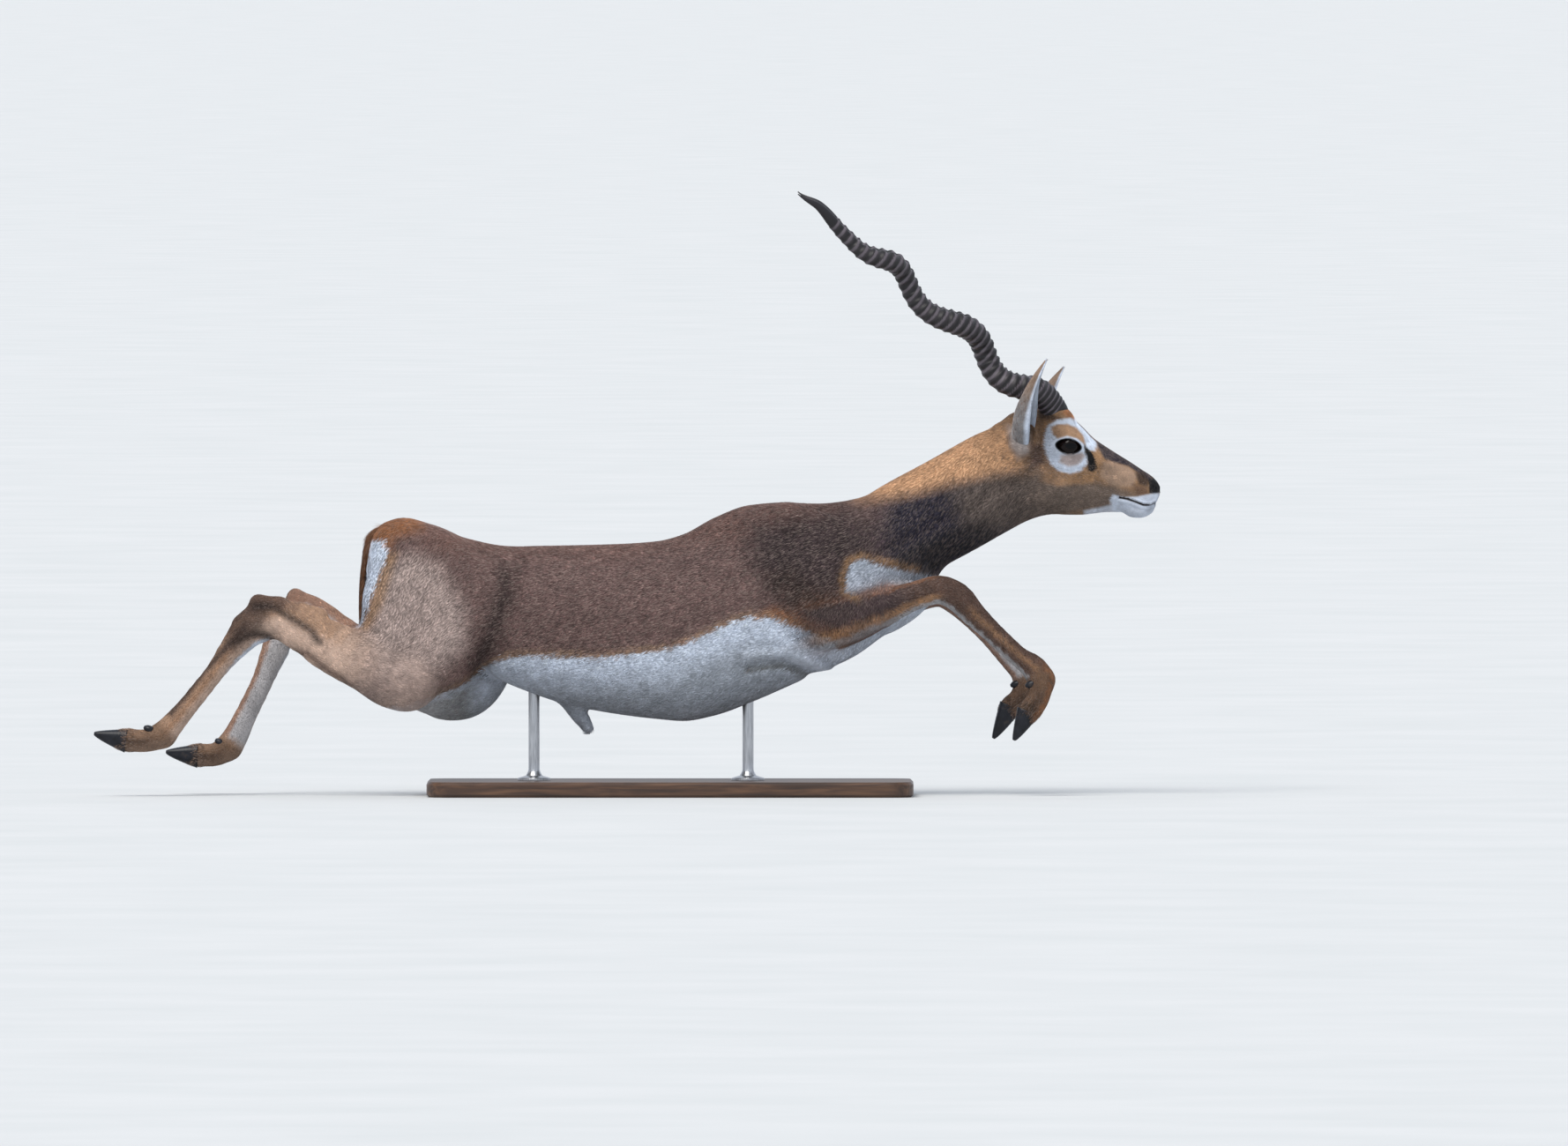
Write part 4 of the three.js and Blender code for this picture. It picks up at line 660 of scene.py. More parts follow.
# %% Horns
RIDGES, RIDGE_FROM, RIDGE_TO, TURN = 38, 4.0, 448.0, 152.0
HORN_ROOT, HORN_TIP = np.array([555, 26, 550.0]), np.array([184, 198, 868.0])
horn_radius = through((-26, -8, 4, 60, 140, 200, 260, 350, 400, 450, 485, 515),
                      (7, 16.5, 19, 17.5, 16, 16, 14, 13.4, 10.2, 8.2, 5.2, 0.9))
horn_swing = through((0, 90, 190, 345, 420, 480, 515), (4, 15, 10, 12, 4, 5, 0))

def ridge_at(s):
    phase = (s - RIDGE_FROM) / (RIDGE_TO - RIDGE_FROM)
    phase = np.sign(phase) * np.abs(phase) ** 0.85 * RIDGES
    number, part = np.floor(phase), phase % 1
    rise = np.minimum(2.0, 1.2 + number * 0.1) * np.where(number > RIDGES - 4, 0.6, 1)
    shape = np.where(part < 0.68, (part / 0.68) ** 1.8, 1 - smooth(0.68, 0.98, part))
    on = smooth(-0.3, 0.2, phase) * (1 - smooth(RIDGES - 0.3, RIDGES + 0.2, phase))
    return np.where(on > 0, rise * on, 0), shape * on

def horn_points(side):
    root, tip = HORN_ROOT * (1, side, 1), HORN_TIP * (1, side, 1)
    way = unit(tip - root)
    forward = unit(np.array([tip[2] - root[2], 0, root[0] - tip[0]]))
    outward = np.cross(way, forward) * side
    long = np.linalg.norm(tip - root)
    def centre(s):
        turn = 2 * np.pi * (s - 27) / TURN
        bow = horn_swing(s) * np.cos(turn) + 2.5 * np.sin(np.pi * s / long)
        return (root + way * s[:, None] + forward * bow[:, None]
                + outward * (horn_swing(s) * np.sin(turn))[:, None])
    def where(t, a):
        s = t * (long + 22) - 22
        ahead = unit(centre(s + 2) - centre(s - 2))
        across = unit(np.cross(ahead, forward))
        up = np.cross(across, ahead)
        rise, shape = ridge_at(s + 1.2 * np.cos(a + 0.6))
        r = np.maximum(horn_radius(s) + rise * (shape - 0.5) * (1.1 + 0.25 * np.cos(a)), 0.35)
        return (centre(s) + up * (r * np.cos(a))[:, None]
                + across * (0.94 * r * np.sin(a))[:, None])
    return where, long

def horn(side):
    where, long = horn_points(side)
    piece = wrapped("horn_sheath_" + ("right" if side < 0 else "left"), 330, 32, where)
    p = points_of(piece)
    root, tip = HORN_ROOT * (1, side, 1), HORN_TIP * (1, side, 1)
    s = (p - root) @ unit(tip - root)
    for name, values in (("along", s / long), ("ridge", ridge_at(s)[1])):
        piece.data.attributes.new(name, "FLOAT", "POINT").data.foreach_set(
            "value", values.astype(np.float32))
    return piece

horns = [horn(side) for side in (-1, 1)]
print("horns:", [len(h.data.polygons) for h in horns])

# %% Hooves and dewclaws
def claw_points(foot, side, out):
    fetlock, pastern, coronet, tip, sole, y, _ = foot
    y = side * (y + out * 10.5)
    root, end = np.array([coronet[0], y, coronet[1]]), np.array([tip[0], y, tip[1]])
    way = unit(end - root)
    down = np.array([sole[0], 0, sole[1]])
    down = unit(down - way * (down @ way))
    outer = np.array([0, side * out, 0.0])
    start = root - way * 7
    long = np.linalg.norm(end - start)
    def where(t, a):
        taper = (1 - t) ** 0.76
        deep = 18 * (0.12 + 0.88 * taper) - 0.15
        wide = 9.6 * (0.2 + 0.8 * (1 - t) ** 0.5) - 0.15
        ring = 0.18 * np.sin(t * 60) * smooth(0, 0.2, t) * (1 - t)
        c, s = np.cos(a), np.sin(a)
        flat = np.sign(c) * np.abs(c) ** np.where(c > 0, 0.7, 1)
        centre = start + way * (t * long)[:, None] + down * ((1 - taper) * 3)[:, None]
        return (centre + down * ((deep + ring) * flat * np.where(c > 0, 0.9, 1))[:, None]
                + outer * ((wide + ring) * s * np.where(s < 0, 0.9, 1))[:, None])
    return where

def dewclaw_points(foot, side, out):
    fetlock, _, _, _, _, y, at = foot
    tip = np.array([at[0], side * (y + out * 11), at[1]])
    way = unit(np.array([at[0] - fetlock[0], 0, at[1] - fetlock[1]]))
    across = np.array([-way[2], 0, way[0]])
    def where(t, a):
        r = 5.5 * through((0, 0.33, 0.66, 0.9, 1), (0.95, 1, 0.85, 0.5, 0.3))(t) - 0.1
        centre = tip + way * ((t - 0.75) * 13)[:, None]
        return (centre + across * (r * np.cos(a))[:, None]
                + np.array([0, 1.0, 0]) * (r * np.sin(a))[:, None])
    return where

hooves = {}
for name, foot in FEET.items():
    for out, word in ((-1, "inner"), (1, "outer")):
        for kind, points_at, size in (("hoof", claw_points, (26, 24)),
                                      ("dewclaw", dewclaw_points, (10, 14))):
            node = f"{name}_{kind}_{word}"
            where = points_at(foot, side_of(name), out)
            hooves[node] = wrapped(node + "_horn", *size, where)
print("claws:", len(hooves))

# %% [markdown]
# Two steel rods carry the body from the wooden base. Each is turned: a flared foot that sits on
# the base, then a plain rod up into the belly.
# %% Rods
def rod_points(x, belly):
    rows = np.array([(0, 22.3), (24, 22.3), (24, 24.6), (23.2, 25.6), (12, 29), (10, 32.3),
                     (8.7, 35), (8, 38.3), (8, belly + 34), (0, belly + 34)])
    def where(t, a):
        step = t * (len(rows) - 1)
        r, z = (np.interp(step, range(len(rows)), rows[:, i]) for i in (0, 1))
        return np.stack([x + r * np.cos(a), r * np.sin(a), z], 1)
    return where

rods = {node: wrapped("steel_" + node[10:], 90, 48, rod_points(x, belly))
        for node, x, belly in (("stand_rod_rear", -196, 141), ("stand_rod_front", 112, 134))}
for rod in rods.values():
    only(rod)
    bpy.ops.object.shade_smooth_by_angle(angle=math.radians(35))
print("rods:", list(rods))

# %% [markdown]
# The coat's colours are one function of place, so the skin and the tufts above it always agree.
# First each point learns what it is part of: trunk, neck, head, a leg with its place along and
# round the limb, tail or ear. Then the ground colours are laid, and the marks go over them;
# some of the marks are painted light and painted shadow.
# %% What a point is part of
def facts_of(p, normal, kind):
    g = groups_of(p)
    share = weights_of(g)
    facts = {"share": share, "normal": normal, "kind": kind}
    best = np.full(len(p), 1e9)
    for key in ("row", "up", "out", "leg"):
        facts[key] = np.zeros(len(p))
    facts["way"] = np.tile([0.0, 0, -1], (len(p), 1))
    for number, name in enumerate(LEGS):
        inside = g[name] < 60
        rows = refined(LEGS[name])
        foot = FEET[name]
        rows = np.vstack([rows, [(*foot[1], foot[5], 14, 18), (*foot[2], foot[5], 15, 19)]])
        for i, (field, t, way, up, out) in enumerate(
                links_of(p[inside], rows, side_of(name))):
            index = np.flatnonzero(inside)
            closer = field < best[index]
            index = index[closer]
            best[index] = field[closer]
            facts["row"][index] = (i + t[closer]) / 3 if i < 30 else 10 + (i - 30 + t[closer])
            facts["up"][index], facts["out"][index] = up[closer], out[closer]
            facts["leg"][index] = number
            facts["way"][index] = (way[0], 0, way[1])
    return facts

# %% Colours by name
def tone(r, g, b):
    c = np.array([r, g, b]) / 255
    return np.where(c > 0.04045, ((c + 0.055) / 1.055) ** 2.4, c / 12.92)

BODY, BACK = tone(106, 83, 79), tone(110, 80, 71)
# the pale haunch colour is painted light on the rounded haunch, and the flank colour is painted shadow
# in the crease between flank and thigh
HAUNCH_LIGHT, FLANK_SHADOW = tone(194, 173, 165), tone(40, 28, 27)
SHOULDER, LOW_NECK, THROAT = tone(47, 37, 40), tone(40, 36, 50), tone(25, 24, 29)
RUFOUS, NAPE, CHEEK = tone(148, 97, 60), tone(212, 165, 126), tone(146, 113, 82)
LOW_CHEEK, WHITE, GREY = tone(106, 93, 84), tone(212, 221, 236), tone(172, 170, 172)
TAN, DARK, BLACK, BRIDGE = tone(170, 132, 96), tone(52, 38, 32), tone(14, 13, 15), tone(46, 38, 46)
LEG_BROWN, LEG_TAN, BEIGE = tone(86, 64, 54), tone(154, 117, 86), tone(196, 169, 152)
SHADOW, MUZZLE, ROSE = tone(112, 112, 108), tone(164, 138, 118), tone(178, 158, 150)
CANNON, PASTERN = tone(160, 124, 98), tone(112, 86, 66)

# %% Marks on trunk and neck
BELLY = through(*np.array([
    (-430, 118), (-406, 125), (-356, 137), (-303, 156), (-263, 184), (-230, 200), (-174, 203),
    (-113, 200), (-52, 206), (9, 216), (49, 232), (90, 251), (118, 259), (150, 257), (178, 246),
    (229, 225), (262, 205), (400, 190)]).T)
CHEST = seen((960, 669), (962, 652), (967, 637), (979, 632), (999, 639), (1028, 645), (1050, 650),
             (1066, 655), (1036, 662), (1003, 669), (975, 675))
HALO = seen((974, 677), (959, 669), (957, 652), (963, 634), (978, 628), (1000, 634), (1040, 644))
STRIP = seen((422, 612), (436, 611), (441, 622), (438, 634), (430, 652), (422, 676), (414, 700),
             (409, 712), (404, 706), (408, 680), (413, 649), (418, 626))
TRUNK_MARKS = [
    (BACK, 0.7, 22, seen((430, 585), (900, 560), (960, 560), (960, 590), (700, 630), (500, 625))),
    # painted light on the haunch; the next mark is painted shadow in the flank and thigh crease
    (HAUNCH_LIGHT, 0.9, 20, seen((434, 640), (468, 628), (500, 640), (528, 688), (530, 730), (497, 762),
                           (458, 776), (436, 770), (418, 725), (424, 678))),
    (FLANK_SHADOW, 0.9, 17, seen((572, 640), (586, 646), (580, 690), (562, 730), (543, 760), (534, 752),
                           (552, 714), (562, 676))),
    (SHOULDER, 0.85, 30, seen((850, 590), (960, 570), (1000, 600), (975, 690), (900, 690), (855, 640))),
    (RUFOUS, 0.95, 13, seen((405, 650), (410, 600), (440, 583), (492, 582), (480, 598), (450, 608),
                            (432, 640), (415, 690))),
    (TAN, 0.7, 8, seen((440, 625), (452, 625), (437, 680), (420, 712), (410, 712))),
    (DARK, 0.6, 14, seen((870, 650), (900, 640), (930, 670), (960, 690), (935, 710), (890, 690))),
    (RUFOUS, 0.85, 12, seen((862, 696), (880, 688), (920, 704), (968, 716), (960, 732), (910, 724),
                            (880, 706)))]
NECK_MARKS = [
    (LOW_CHEEK, 0.75, 22, seen((1080, 555), (1125, 530), (1180, 530), (1205, 575), (1180, 595),
                               (1130, 602), (1095, 596))),
    (NAPE, 1.0, 15, seen((1010, 540), (1080, 500), (1140, 465), (1170, 490), (1160, 530), (1120, 537),
                         (1075, 548), (1030, 560), (975, 568), (950, 560))),
    (THROAT, 0.7, 12, seen((1035, 660), (1100, 628), (1140, 606), (1120, 590), (1070, 600),
                           (1010, 630)))]

# %% Marks on the head
HEAD_MARKS = [
    (LOW_CHEEK, 0.95, 9, seen((1150, 545), (1186, 536), (1215, 544), (1240, 546), (1262, 550),
                              (1290, 560), (1262, 574), (1180, 590), (1130, 590))),
    (GREY, 0.85, 6, seen((1142, 481), (1167, 485), (1168, 513), (1155, 521), (1146, 507))),
    (LEG_BROWN, 0.7, 5, seen((1168, 500), (1184, 505), (1186, 525), (1170, 530))),
    (TAN, 0.8, 5, seen((1186, 528), (1200, 541), (1235, 542), (1243, 536), (1240, 547), (1200, 551),
                       (1180, 545))),
    (MUZZLE, 0.9, 4, seen((1250, 524), (1263, 523), (1281, 530), (1290, 540), (1284, 552),
                          (1262, 552), (1248, 540))),
    (WHITE, 1, 2, seen((1186, 489), (1189, 482), (1199, 476), (1214, 474), (1229, 479), (1239, 491),
                       (1245, 504), (1243, 512), (1237, 511), (1234, 517), (1233, 526),
                       (1226, 534), (1214, 537), (1201, 534), (1192, 526), (1187, 515), (1184, 503))),
    (ROSE, 0.85, 3, seen((1203, 516), (1227, 513), (1231, 517), (1223, 527), (1212, 529),
                         (1202, 524))),
    (TAN, 0.95, 2, seen((1192, 484), (1199, 481), (1211, 481), (1222, 486), (1229, 495), (1231, 505),
                        (1226, 501), (1221, 497), (1210, 494), (1199, 497), (1194, 492))),
    (DARK, 0.8, 3, seen((1174, 464), (1190, 468), (1204, 474), (1196, 477), (1180, 474))),
    (RUFOUS, 0.95, 3, seen((1205, 468), (1208, 460), (1221, 462), (1232, 478), (1221, 478),
                           (1210, 472))),
    (BRIDGE, 1, 2, seen((1228, 472), (1246, 494), (1254, 500), (1272, 513), (1297, 528), (1309, 540),
                        (1303, 546), (1291, 537), (1280, 529), (1263, 524), (1253, 521),
                        (1247, 510), (1238, 490), (1228, 479))),
    (TAN, 0.8, 2, seen((1242, 508), (1248, 513), (1251, 527), (1244, 529))),
    (DARK, 0.9, 3, seen((1287, 536), (1297, 535), (1303, 545), (1301, 552), (1291, 549))),
    (LEG_BROWN, 0.7, 4, seen((1284, 549), (1300, 552), (1302, 560), (1290, 562))),
    (BLACK, 1, 1.2, seen((1302, 544), (1311, 540), (1318, 546), (1318, 557), (1309, 561),
                         (1303, 559))),
    (WHITE, 0.95, 2, seen((1259, 566), (1263, 561), (1274, 564), (1290, 563), (1305, 560), (1320, 559),
                          (1318, 572), (1304, 592), (1282, 594), (1264, 584))),
    (WHITE, 0.8, 3, seen((1230, 579), (1250, 575), (1262, 572), (1268, 590), (1232, 592)))]

def laid(colour, weight, paint):
    return colour + (paint - colour) * np.clip(weight, 0, 1)[:, None]

def marked(colour, p, marks, share):
    for paint, most, soft, outline in marks:
        colour = laid(colour, share * most * within(p, outline, soft), paint)
    return colour

# %% The colour of a point
def trunk_colour(p, facts, wander):
    colour = np.tile(BODY, (len(p), 1))
    colour = marked(colour, p, TRUNK_MARKS, np.ones(len(p)))
    over = p[:, 2] - BELLY(p[:, 0]) + wander * 5
    rear = smooth(-300, -420, p[:, 0])
    colour = laid(colour, 0.6 * np.exp(-((over - 4) / (5 + 6 * rear)) ** 2), tone(168, 138, 112))
    colour = laid(colour, 1 - smooth(-2.5, 2.5, over), WHITE)
    low = smooth(-10, -70, over) * smooth(260, 120, p[:, 0])
    colour = laid(colour, 0.45 * low, SHADOW)
    colour = laid(colour, 0.8 * smooth(0, -12, over) * smooth(-265, -300, p[:, 0]), SHADOW)
    inner = smooth(52, 40, np.abs(p[:, 1])) * smooth(190, 215, p[:, 0])
    colour = laid(colour, inner * smooth(325, 300, p[:, 2]), WHITE)
    fold = beside(p, seen((850, 758), (890, 753), (918, 765), (936, 770)))
    colour = laid(colour, 0.75 * np.exp(-(fold / 5) ** 2), SHADOW)
    shifted = p + np.stack([wander * 3, 0 * wander, 0 * wander], 1)
    free = smooth(0.35, 0.1, facts["share"]["legs"])
    # the white chest patch, dimmed to 0.72 by painted shade
    colour = laid(colour, free * within(shifted, CHEST, 2.5), WHITE * 0.72)
    shifted = p + np.stack([wander * 5, 0 * wander, wander * 2], 1)
    return laid(colour, within(shifted, STRIP, 1.5), WHITE)

HOCK_MARKS = [
    (LEG_BROWN * 0.6, 0.85, 11, seen((284, 684), (296, 680), (312, 688), (303, 706), (288, 722),
                                     (266, 738), (252, 738), (266, 708)))]
# dark lines painted along the grooves of hock and cannon: painted shade in the grooves
GROOVE_SHADE_LINES = [
    (DARK * 0.8, 0.9, 6, seen((290, 687), (308, 686), (331, 700), (353, 713), (364, 727))),
    (DARK * 0.7, 0.92, 6.5, seen((270, 727), (282, 720), (294, 718), (307, 721), (316, 731))),
    (LEG_BROWN, 0.7, 5, seen((316, 731), (328, 738), (350, 741), (375, 760), (400, 777))),
    (DARK * 1.5, 0.9, 5.5, seen((282, 706), (256, 735), (232, 761), (212, 787), (195, 807)))]

def leg_colour(p, facts, wander):
    row, up, out = facts["row"], facts["up"] + 0.12 * wander, facts["out"]
    hind = facts["leg"] > 1.5
    fore = laid(np.tile(LEG_BROWN, (len(p), 1)), smooth(3.4, 1.6, row), SHOULDER * 1.25)
    fore = laid(fore, 0.8 * smooth(0.72, 0.92, up) * smooth(4.2, 3.4, row), RUFOUS)
    fore = laid(fore, smooth(-0.1, -0.45, up) * smooth(4.4, 3.6, row), LEG_TAN)
    fore = laid(fore, 0.7 * smooth(5.4, 6, row) * np.exp(-((up - 0.1) / 0.25) ** 2), LEG_TAN)
    fore = laid(fore, smooth(8.8, 9.8, row) * 0.75, PASTERN * 0.9)
    fore = laid(fore, 0.55 * smooth(8.6, 9.8, row) * smooth(0.4, 0.8, up), RUFOUS)
    fore = laid(fore, smooth(-0.62, -0.85, up) * smooth(9.6, 9, row), GREY)
    back = np.tile(BEIGE, (len(p), 1))
    back = laid(back, 0.85 * smooth(1.8, 0.6, row), tone(158, 138, 130))
    back = laid(back, 0.7 * smooth(0.1, -0.5, up) * smooth(1.4, 2.4, row), LEG_TAN)
    back = laid(back, 0.9 * smooth(-0.35, -0.8, up) * smooth(3.2, 4, row) * smooth(6.4, 5.6, row),
                LEG_BROWN)
    back = laid(back, smooth(5.6, 6.4, row) * np.exp(-((up + 0.05) / 0.4) ** 2), CANNON)
    back = laid(back, smooth(9.2, 10, row) * 0.8, PASTERN)
    back = laid(back, smooth(0.7, 0.9, up) * smooth(4.2, 4.8, row) * smooth(7, 6, row), WHITE)
    for paint, most, soft, outline in HOCK_MARKS:
        back = laid(back, most * within(p, outline, soft) * (facts["leg"] == 2), paint)
    # painted shade along the hind leg's grooves
    for paint, most, soft, line in GROOVE_SHADE_LINES:
        back = laid(back, most * np.exp(-(beside(p, line) / soft) ** 2) * (facts["leg"] == 2), paint)
    colour = np.where(hind[:, None], back, fore)
    inner = smooth(0.15, -0.35, out) * smooth(9.8, 9, row)
    rim = smooth(-0.35, -0.75, up)
    lining = laid(np.tile(tone(186, 184, 186), (len(p), 1)), rim * 0.8, RUFOUS)
    colour = laid(colour, inner * 0.9, lining)
    feet = smooth(10, 11, row) * np.exp(-((up - 0.1) / 0.4) ** 2)
    return laid(colour, feet * 0.7, DARK)

def head_colour(p):
    colour = marked(np.tile(CHEEK, (len(p), 1)), p, HEAD_MARKS, np.ones(len(p)))
    q = mirrored(p)
    crown = within(p, seen((1190, 440), (1236, 460), (1262, 500), (1240, 500), (1218, 474),
                           (1200, 468)), 5)
    middle = smooth(16, 9, np.abs(p[:, 1])) * crown
    colour = laid(colour, middle, RUFOUS * 0.75)
    colour = laid(colour, middle * smooth(572, 592, p[:, 0]), BRIDGE)
    colour = laid(colour, smooth(3.0, 1.8, tube(q, RIM, 0)), BLACK)
    colour = laid(colour, smooth(1.2, 0.2, almond(p)) * (q[:, 1] > 30), BLACK)
    colour = laid(colour, smooth(3.6, 1.6, ball(p, GLAND, (2.8, 6, 13), 17)), BLACK)
    slit = seen((1229, 503), (1237, 513), (1242, 522), (1244, 531), (1240, 536), (1234, 533),
                (1233, 527), (1235, 521), (1230, 513))
    colour = laid(colour, within(p, slit, 1.2), BLACK)
    colour = laid(colour, smooth(2.4, 1.5, tube(q, MOUTH_GAP, 0)), DARK * 0.4)
    return laid(colour, smooth(3.0, 1.0, ball(p, (698, 14, 446), (8.5, 8, 4.2), -24)), BLACK)

def ear_colour(p, which, wander):
    root, tip, way, facing, side = ear_axes(which)
    t = np.clip((p - root) @ way / np.linalg.norm(tip - root), 0, 1)
    off = p - root - (tip - root) * t[:, None]
    r, turn = np.hypot(off @ facing, off @ side), np.arctan2(off @ side, -(off @ facing))
    share = np.abs(turn) / ear_half(t)
    inner = smooth(0.9, 1.5, ear_radius(t) - r) * (share < 0.97)
    colour = laid(np.tile(GREY * 0.55, (len(p), 1)), smooth(0.35, 0.8, t + 0.1 * wander) * 0.7, CHEEK)
    colour = laid(colour, 0.7 * smooth(0.35, 0.6, wander) * smooth(0.9, 0.5, t), LEG_BROWN)
    colour = laid(colour, smooth(0.72, 0.9, share), WHITE)
    lining = np.tile(tone(84, 72, 68), (len(p), 1))
    return laid(colour, inner, laid(lining, smooth(0.5, 0.95, share), WHITE))

def colour_of(p, facts):
    share, kind = facts["share"], facts["kind"]
    wander = (np.sin(p[:, 0] * 0.9 + p[:, 2] * 0.5) + np.sin(p[:, 0] * 0.37 - p[:, 1] * 0.81)
              + np.sin(p[:, 2] * 0.6 + p[:, 1] * 0.45 + 2)) / 3
    wander = wander + facts.get("stray", 0)
    trunk = trunk_colour(p, facts, wander)
    ground = p[:, 0] - 262 - (p[:, 2] - 338) * 0.2
    neck = laid(trunk, smooth(0, 60, ground), LOW_NECK)
    neck = marked(neck, p, NECK_MARKS, smooth(-60, 40, ground))
    neck = laid(neck, 0.6 * within(p, CHEST, 9), TAN * 0.7)
    # the white chest patch, dimmed to 0.72 by painted shade
    neck = laid(neck, within(p, CHEST, 2.5), WHITE * 0.72)
    colour = (share["trunk"][:, None] * marked(trunk, p, NECK_MARKS, smooth(-60, 40, ground))
              + share["neck"][:, None] * neck
              + share["head"][:, None] * head_colour(p)
              + share["legs"][:, None] * leg_colour(p, facts, wander))
    off_leg = smooth(1.6, 0.8, facts["row"] * (share["legs"] > 0.4))
    halo = 0.85 * np.exp(-(beside(p, HALO) / 5) ** 2) * off_leg
    colour = laid(colour, halo * (1 - within(p, CHEST, 3)), TAN * 0.8)
    low = smooth(280, 230, p[:, 2])[:, None]
    strap = RUFOUS * 0.85 * (1 - low) + BACK * low
    colour = np.where((kind == 1)[:, None], strap * (1 + 0.2 * wander[:, None]), colour)
    for number, which in ((2, "right"), (3, "left")):
        mine = kind == number
        if mine.any():
            colour[mine] = ear_colour(p[mine], which, wander[mine])
    return colour

# %% [markdown]
# The hair lies back along the body and down the legs, and on the face it runs from the nose to
# the ears. Each point gets that direction, blended between parts and laid flat on the skin.
# %% The lie of the hair
LIE = {"trunk": (-0.92, 0, -0.4), "neck": (-0.6, 0, -0.8), "head": (-0.95, 0, 0.3)}

def lie_of(p, facts):
    reach = np.where(facts["leg"] < 1.5, smooth(0.6, 3.2, facts["row"]), 1)[:, None]
    lie = facts["way"] * reach + np.array([-0.15, 0, -1]) * (1 - reach)
    lie = unit(lie) * facts["share"]["legs"][:, None]
    for part, way in LIE.items():
        lie = lie + unit(np.array(way)) * facts["share"][part][:, None]
    haunch = facts["share"]["trunk"] * smooth(-250, -400, p[:, 0])
    lie = lie + haunch[:, None] * np.array([0.35, 0, -0.7])
    down = facts["share"]["trunk"] * smooth(200, 260, p[:, 0]) * smooth(300, 240, p[:, 2])
    lie = lie + down[:, None] * np.array([0.7, 0, -0.8])
    lie = np.where((facts["kind"] == 1)[:, None], [-0.12, 0, -1], lie)
    for number, which in ((2, "right"), (3, "left")):
        lie = np.where((facts["kind"] == number)[:, None], ear_axes(which)[2], lie)
    flat = lie - facts["normal"] * (lie * facts["normal"]).sum(1)[:, None]
    return unit(flat)

# %% Paint the skin
def attribute(piece, name, kind, values, field):
    made = piece.data.attributes.new(name, kind, "POINT")
    made.data.foreach_set(field, np.asarray(values, np.float32).ravel())

def with_alpha(colour):
    return np.hstack([np.clip(colour, 0, 1), np.ones((len(colour), 1))])

def normals_of(piece):
    values = np.empty(len(piece.data.vertices) * 3, np.float32)
    piece.data.vertices.foreach_get("normal", values)
    return values.reshape(-1, 3).astype(float)

points = points_of(skin)
facts = facts_of(points, normals_of(skin), kinds_of(skin))
# the skin gets the coat's colours at 0.8: painted shade under the hair
attribute(skin, "tint", "FLOAT_COLOR", with_alpha(colour_of(points, facts) * 0.8), "color")
attribute(skin, "lie", "FLOAT_VECTOR", lie_of(points, facts), "vector")
print("skin painted:", len(points), "points")

# %% [markdown]
# The coat is short, so most of it lies flat, and each tuft is a thin blade with a ridge along
# its back: three points at the root and one at the tip. Blades are spread over the skin by its
# area, closest and smallest on the face, and follow the lie with a little disorder. Each root
# is sunk in the skin and each tip is set at a small height over the form, so the coat hugs it.
# %% Spread the roots
def triangles_of(piece):
    mesh = piece.data
    mesh.calc_loop_triangles()
    count = len(mesh.loop_triangles)
    corner, loop = np.empty(count * 3, np.int32), np.empty(count * 3, np.int32)
    mesh.loop_triangles.foreach_get("vertices", corner)
    mesh.loop_triangles.foreach_get("loops", loop)
    uv = np.empty(len(mesh.loops) * 2, np.float32)
    mesh.uv_layers["OFBake"].data.foreach_get("uv", uv)
    return corner.reshape(-1, 3), uv.reshape(-1, 2)[loop.reshape(-1, 3)]

corner, corner_uv = triangles_of(skin)
edge = points[corner[:, 1:]] - points[corner[:, :1]]
area = np.linalg.norm(np.cross(edge[:, 0], edge[:, 1]), axis=1) / 2
middle = points[corner].mean(1)
share = {part: value[corner[:, 0]] for part, value in facts["share"].items()}
tri_kind = facts["kind"][corner[:, 0]]
SPACING = {"trunk": 3.9, "neck": 3.5, "head": 1.15, "legs": 2.2}  # mm2 of skin to a tuft
density = sum(share[part] / size for part, size in SPACING.items())
density[tri_kind > 0] = 1 / 1.6

def bare(p):
    q = mirrored(p)
    gone = ball(p, (573, 50, 504), (20.5, 20, 12.8), -8) < 0
    gone |= (tube(q, MOUTH_GAP, 0) < 1.6) | (ball(p, GLAND, (3.6, 8, 13), 17) < 0)
    gone |= ball(p, (703, 9, 445), (13, 22, 10.5), -50) < 0
    gone |= ball(p, (553, 26, 554), (17, 18, 14), -40) < 0
    for name, foot in FEET.items():
        for out in (-1, 1):
            y = side_of(name) * (foot[5] + out * 10.5)
            root, tip = (np.array([at[0], y, at[1]]) for at in (foot[2], foot[3]))
            gone |= tube(p, [root + 2 * unit(tip - root), tip], 11) < 0
    return gone

density[bare(middle)] = 0
expected = density * area
count = np.floor(expected + rng.random(len(expected))).astype(int)
owner = np.repeat(np.arange(len(area)), count)
b = rng.random((len(owner), 2))
b = np.where(b.sum(1, keepdims=True) > 1, 1 - b, b)
b = np.hstack([1 - b.sum(1, keepdims=True), b])
roots = (points[corner[owner]] * b[:, :, None]).sum(1)
root_uv = (corner_uv[owner] * b[:, :, None]).sum(1)
skin_normals = normals_of(skin)
root_normals = unit((skin_normals[corner[owner]] * b[:, :, None]).sum(1))
root_kind = tri_kind[owner]
print("tufts:", len(roots), "area m2:", round(area.sum() * 1e-6, 3))

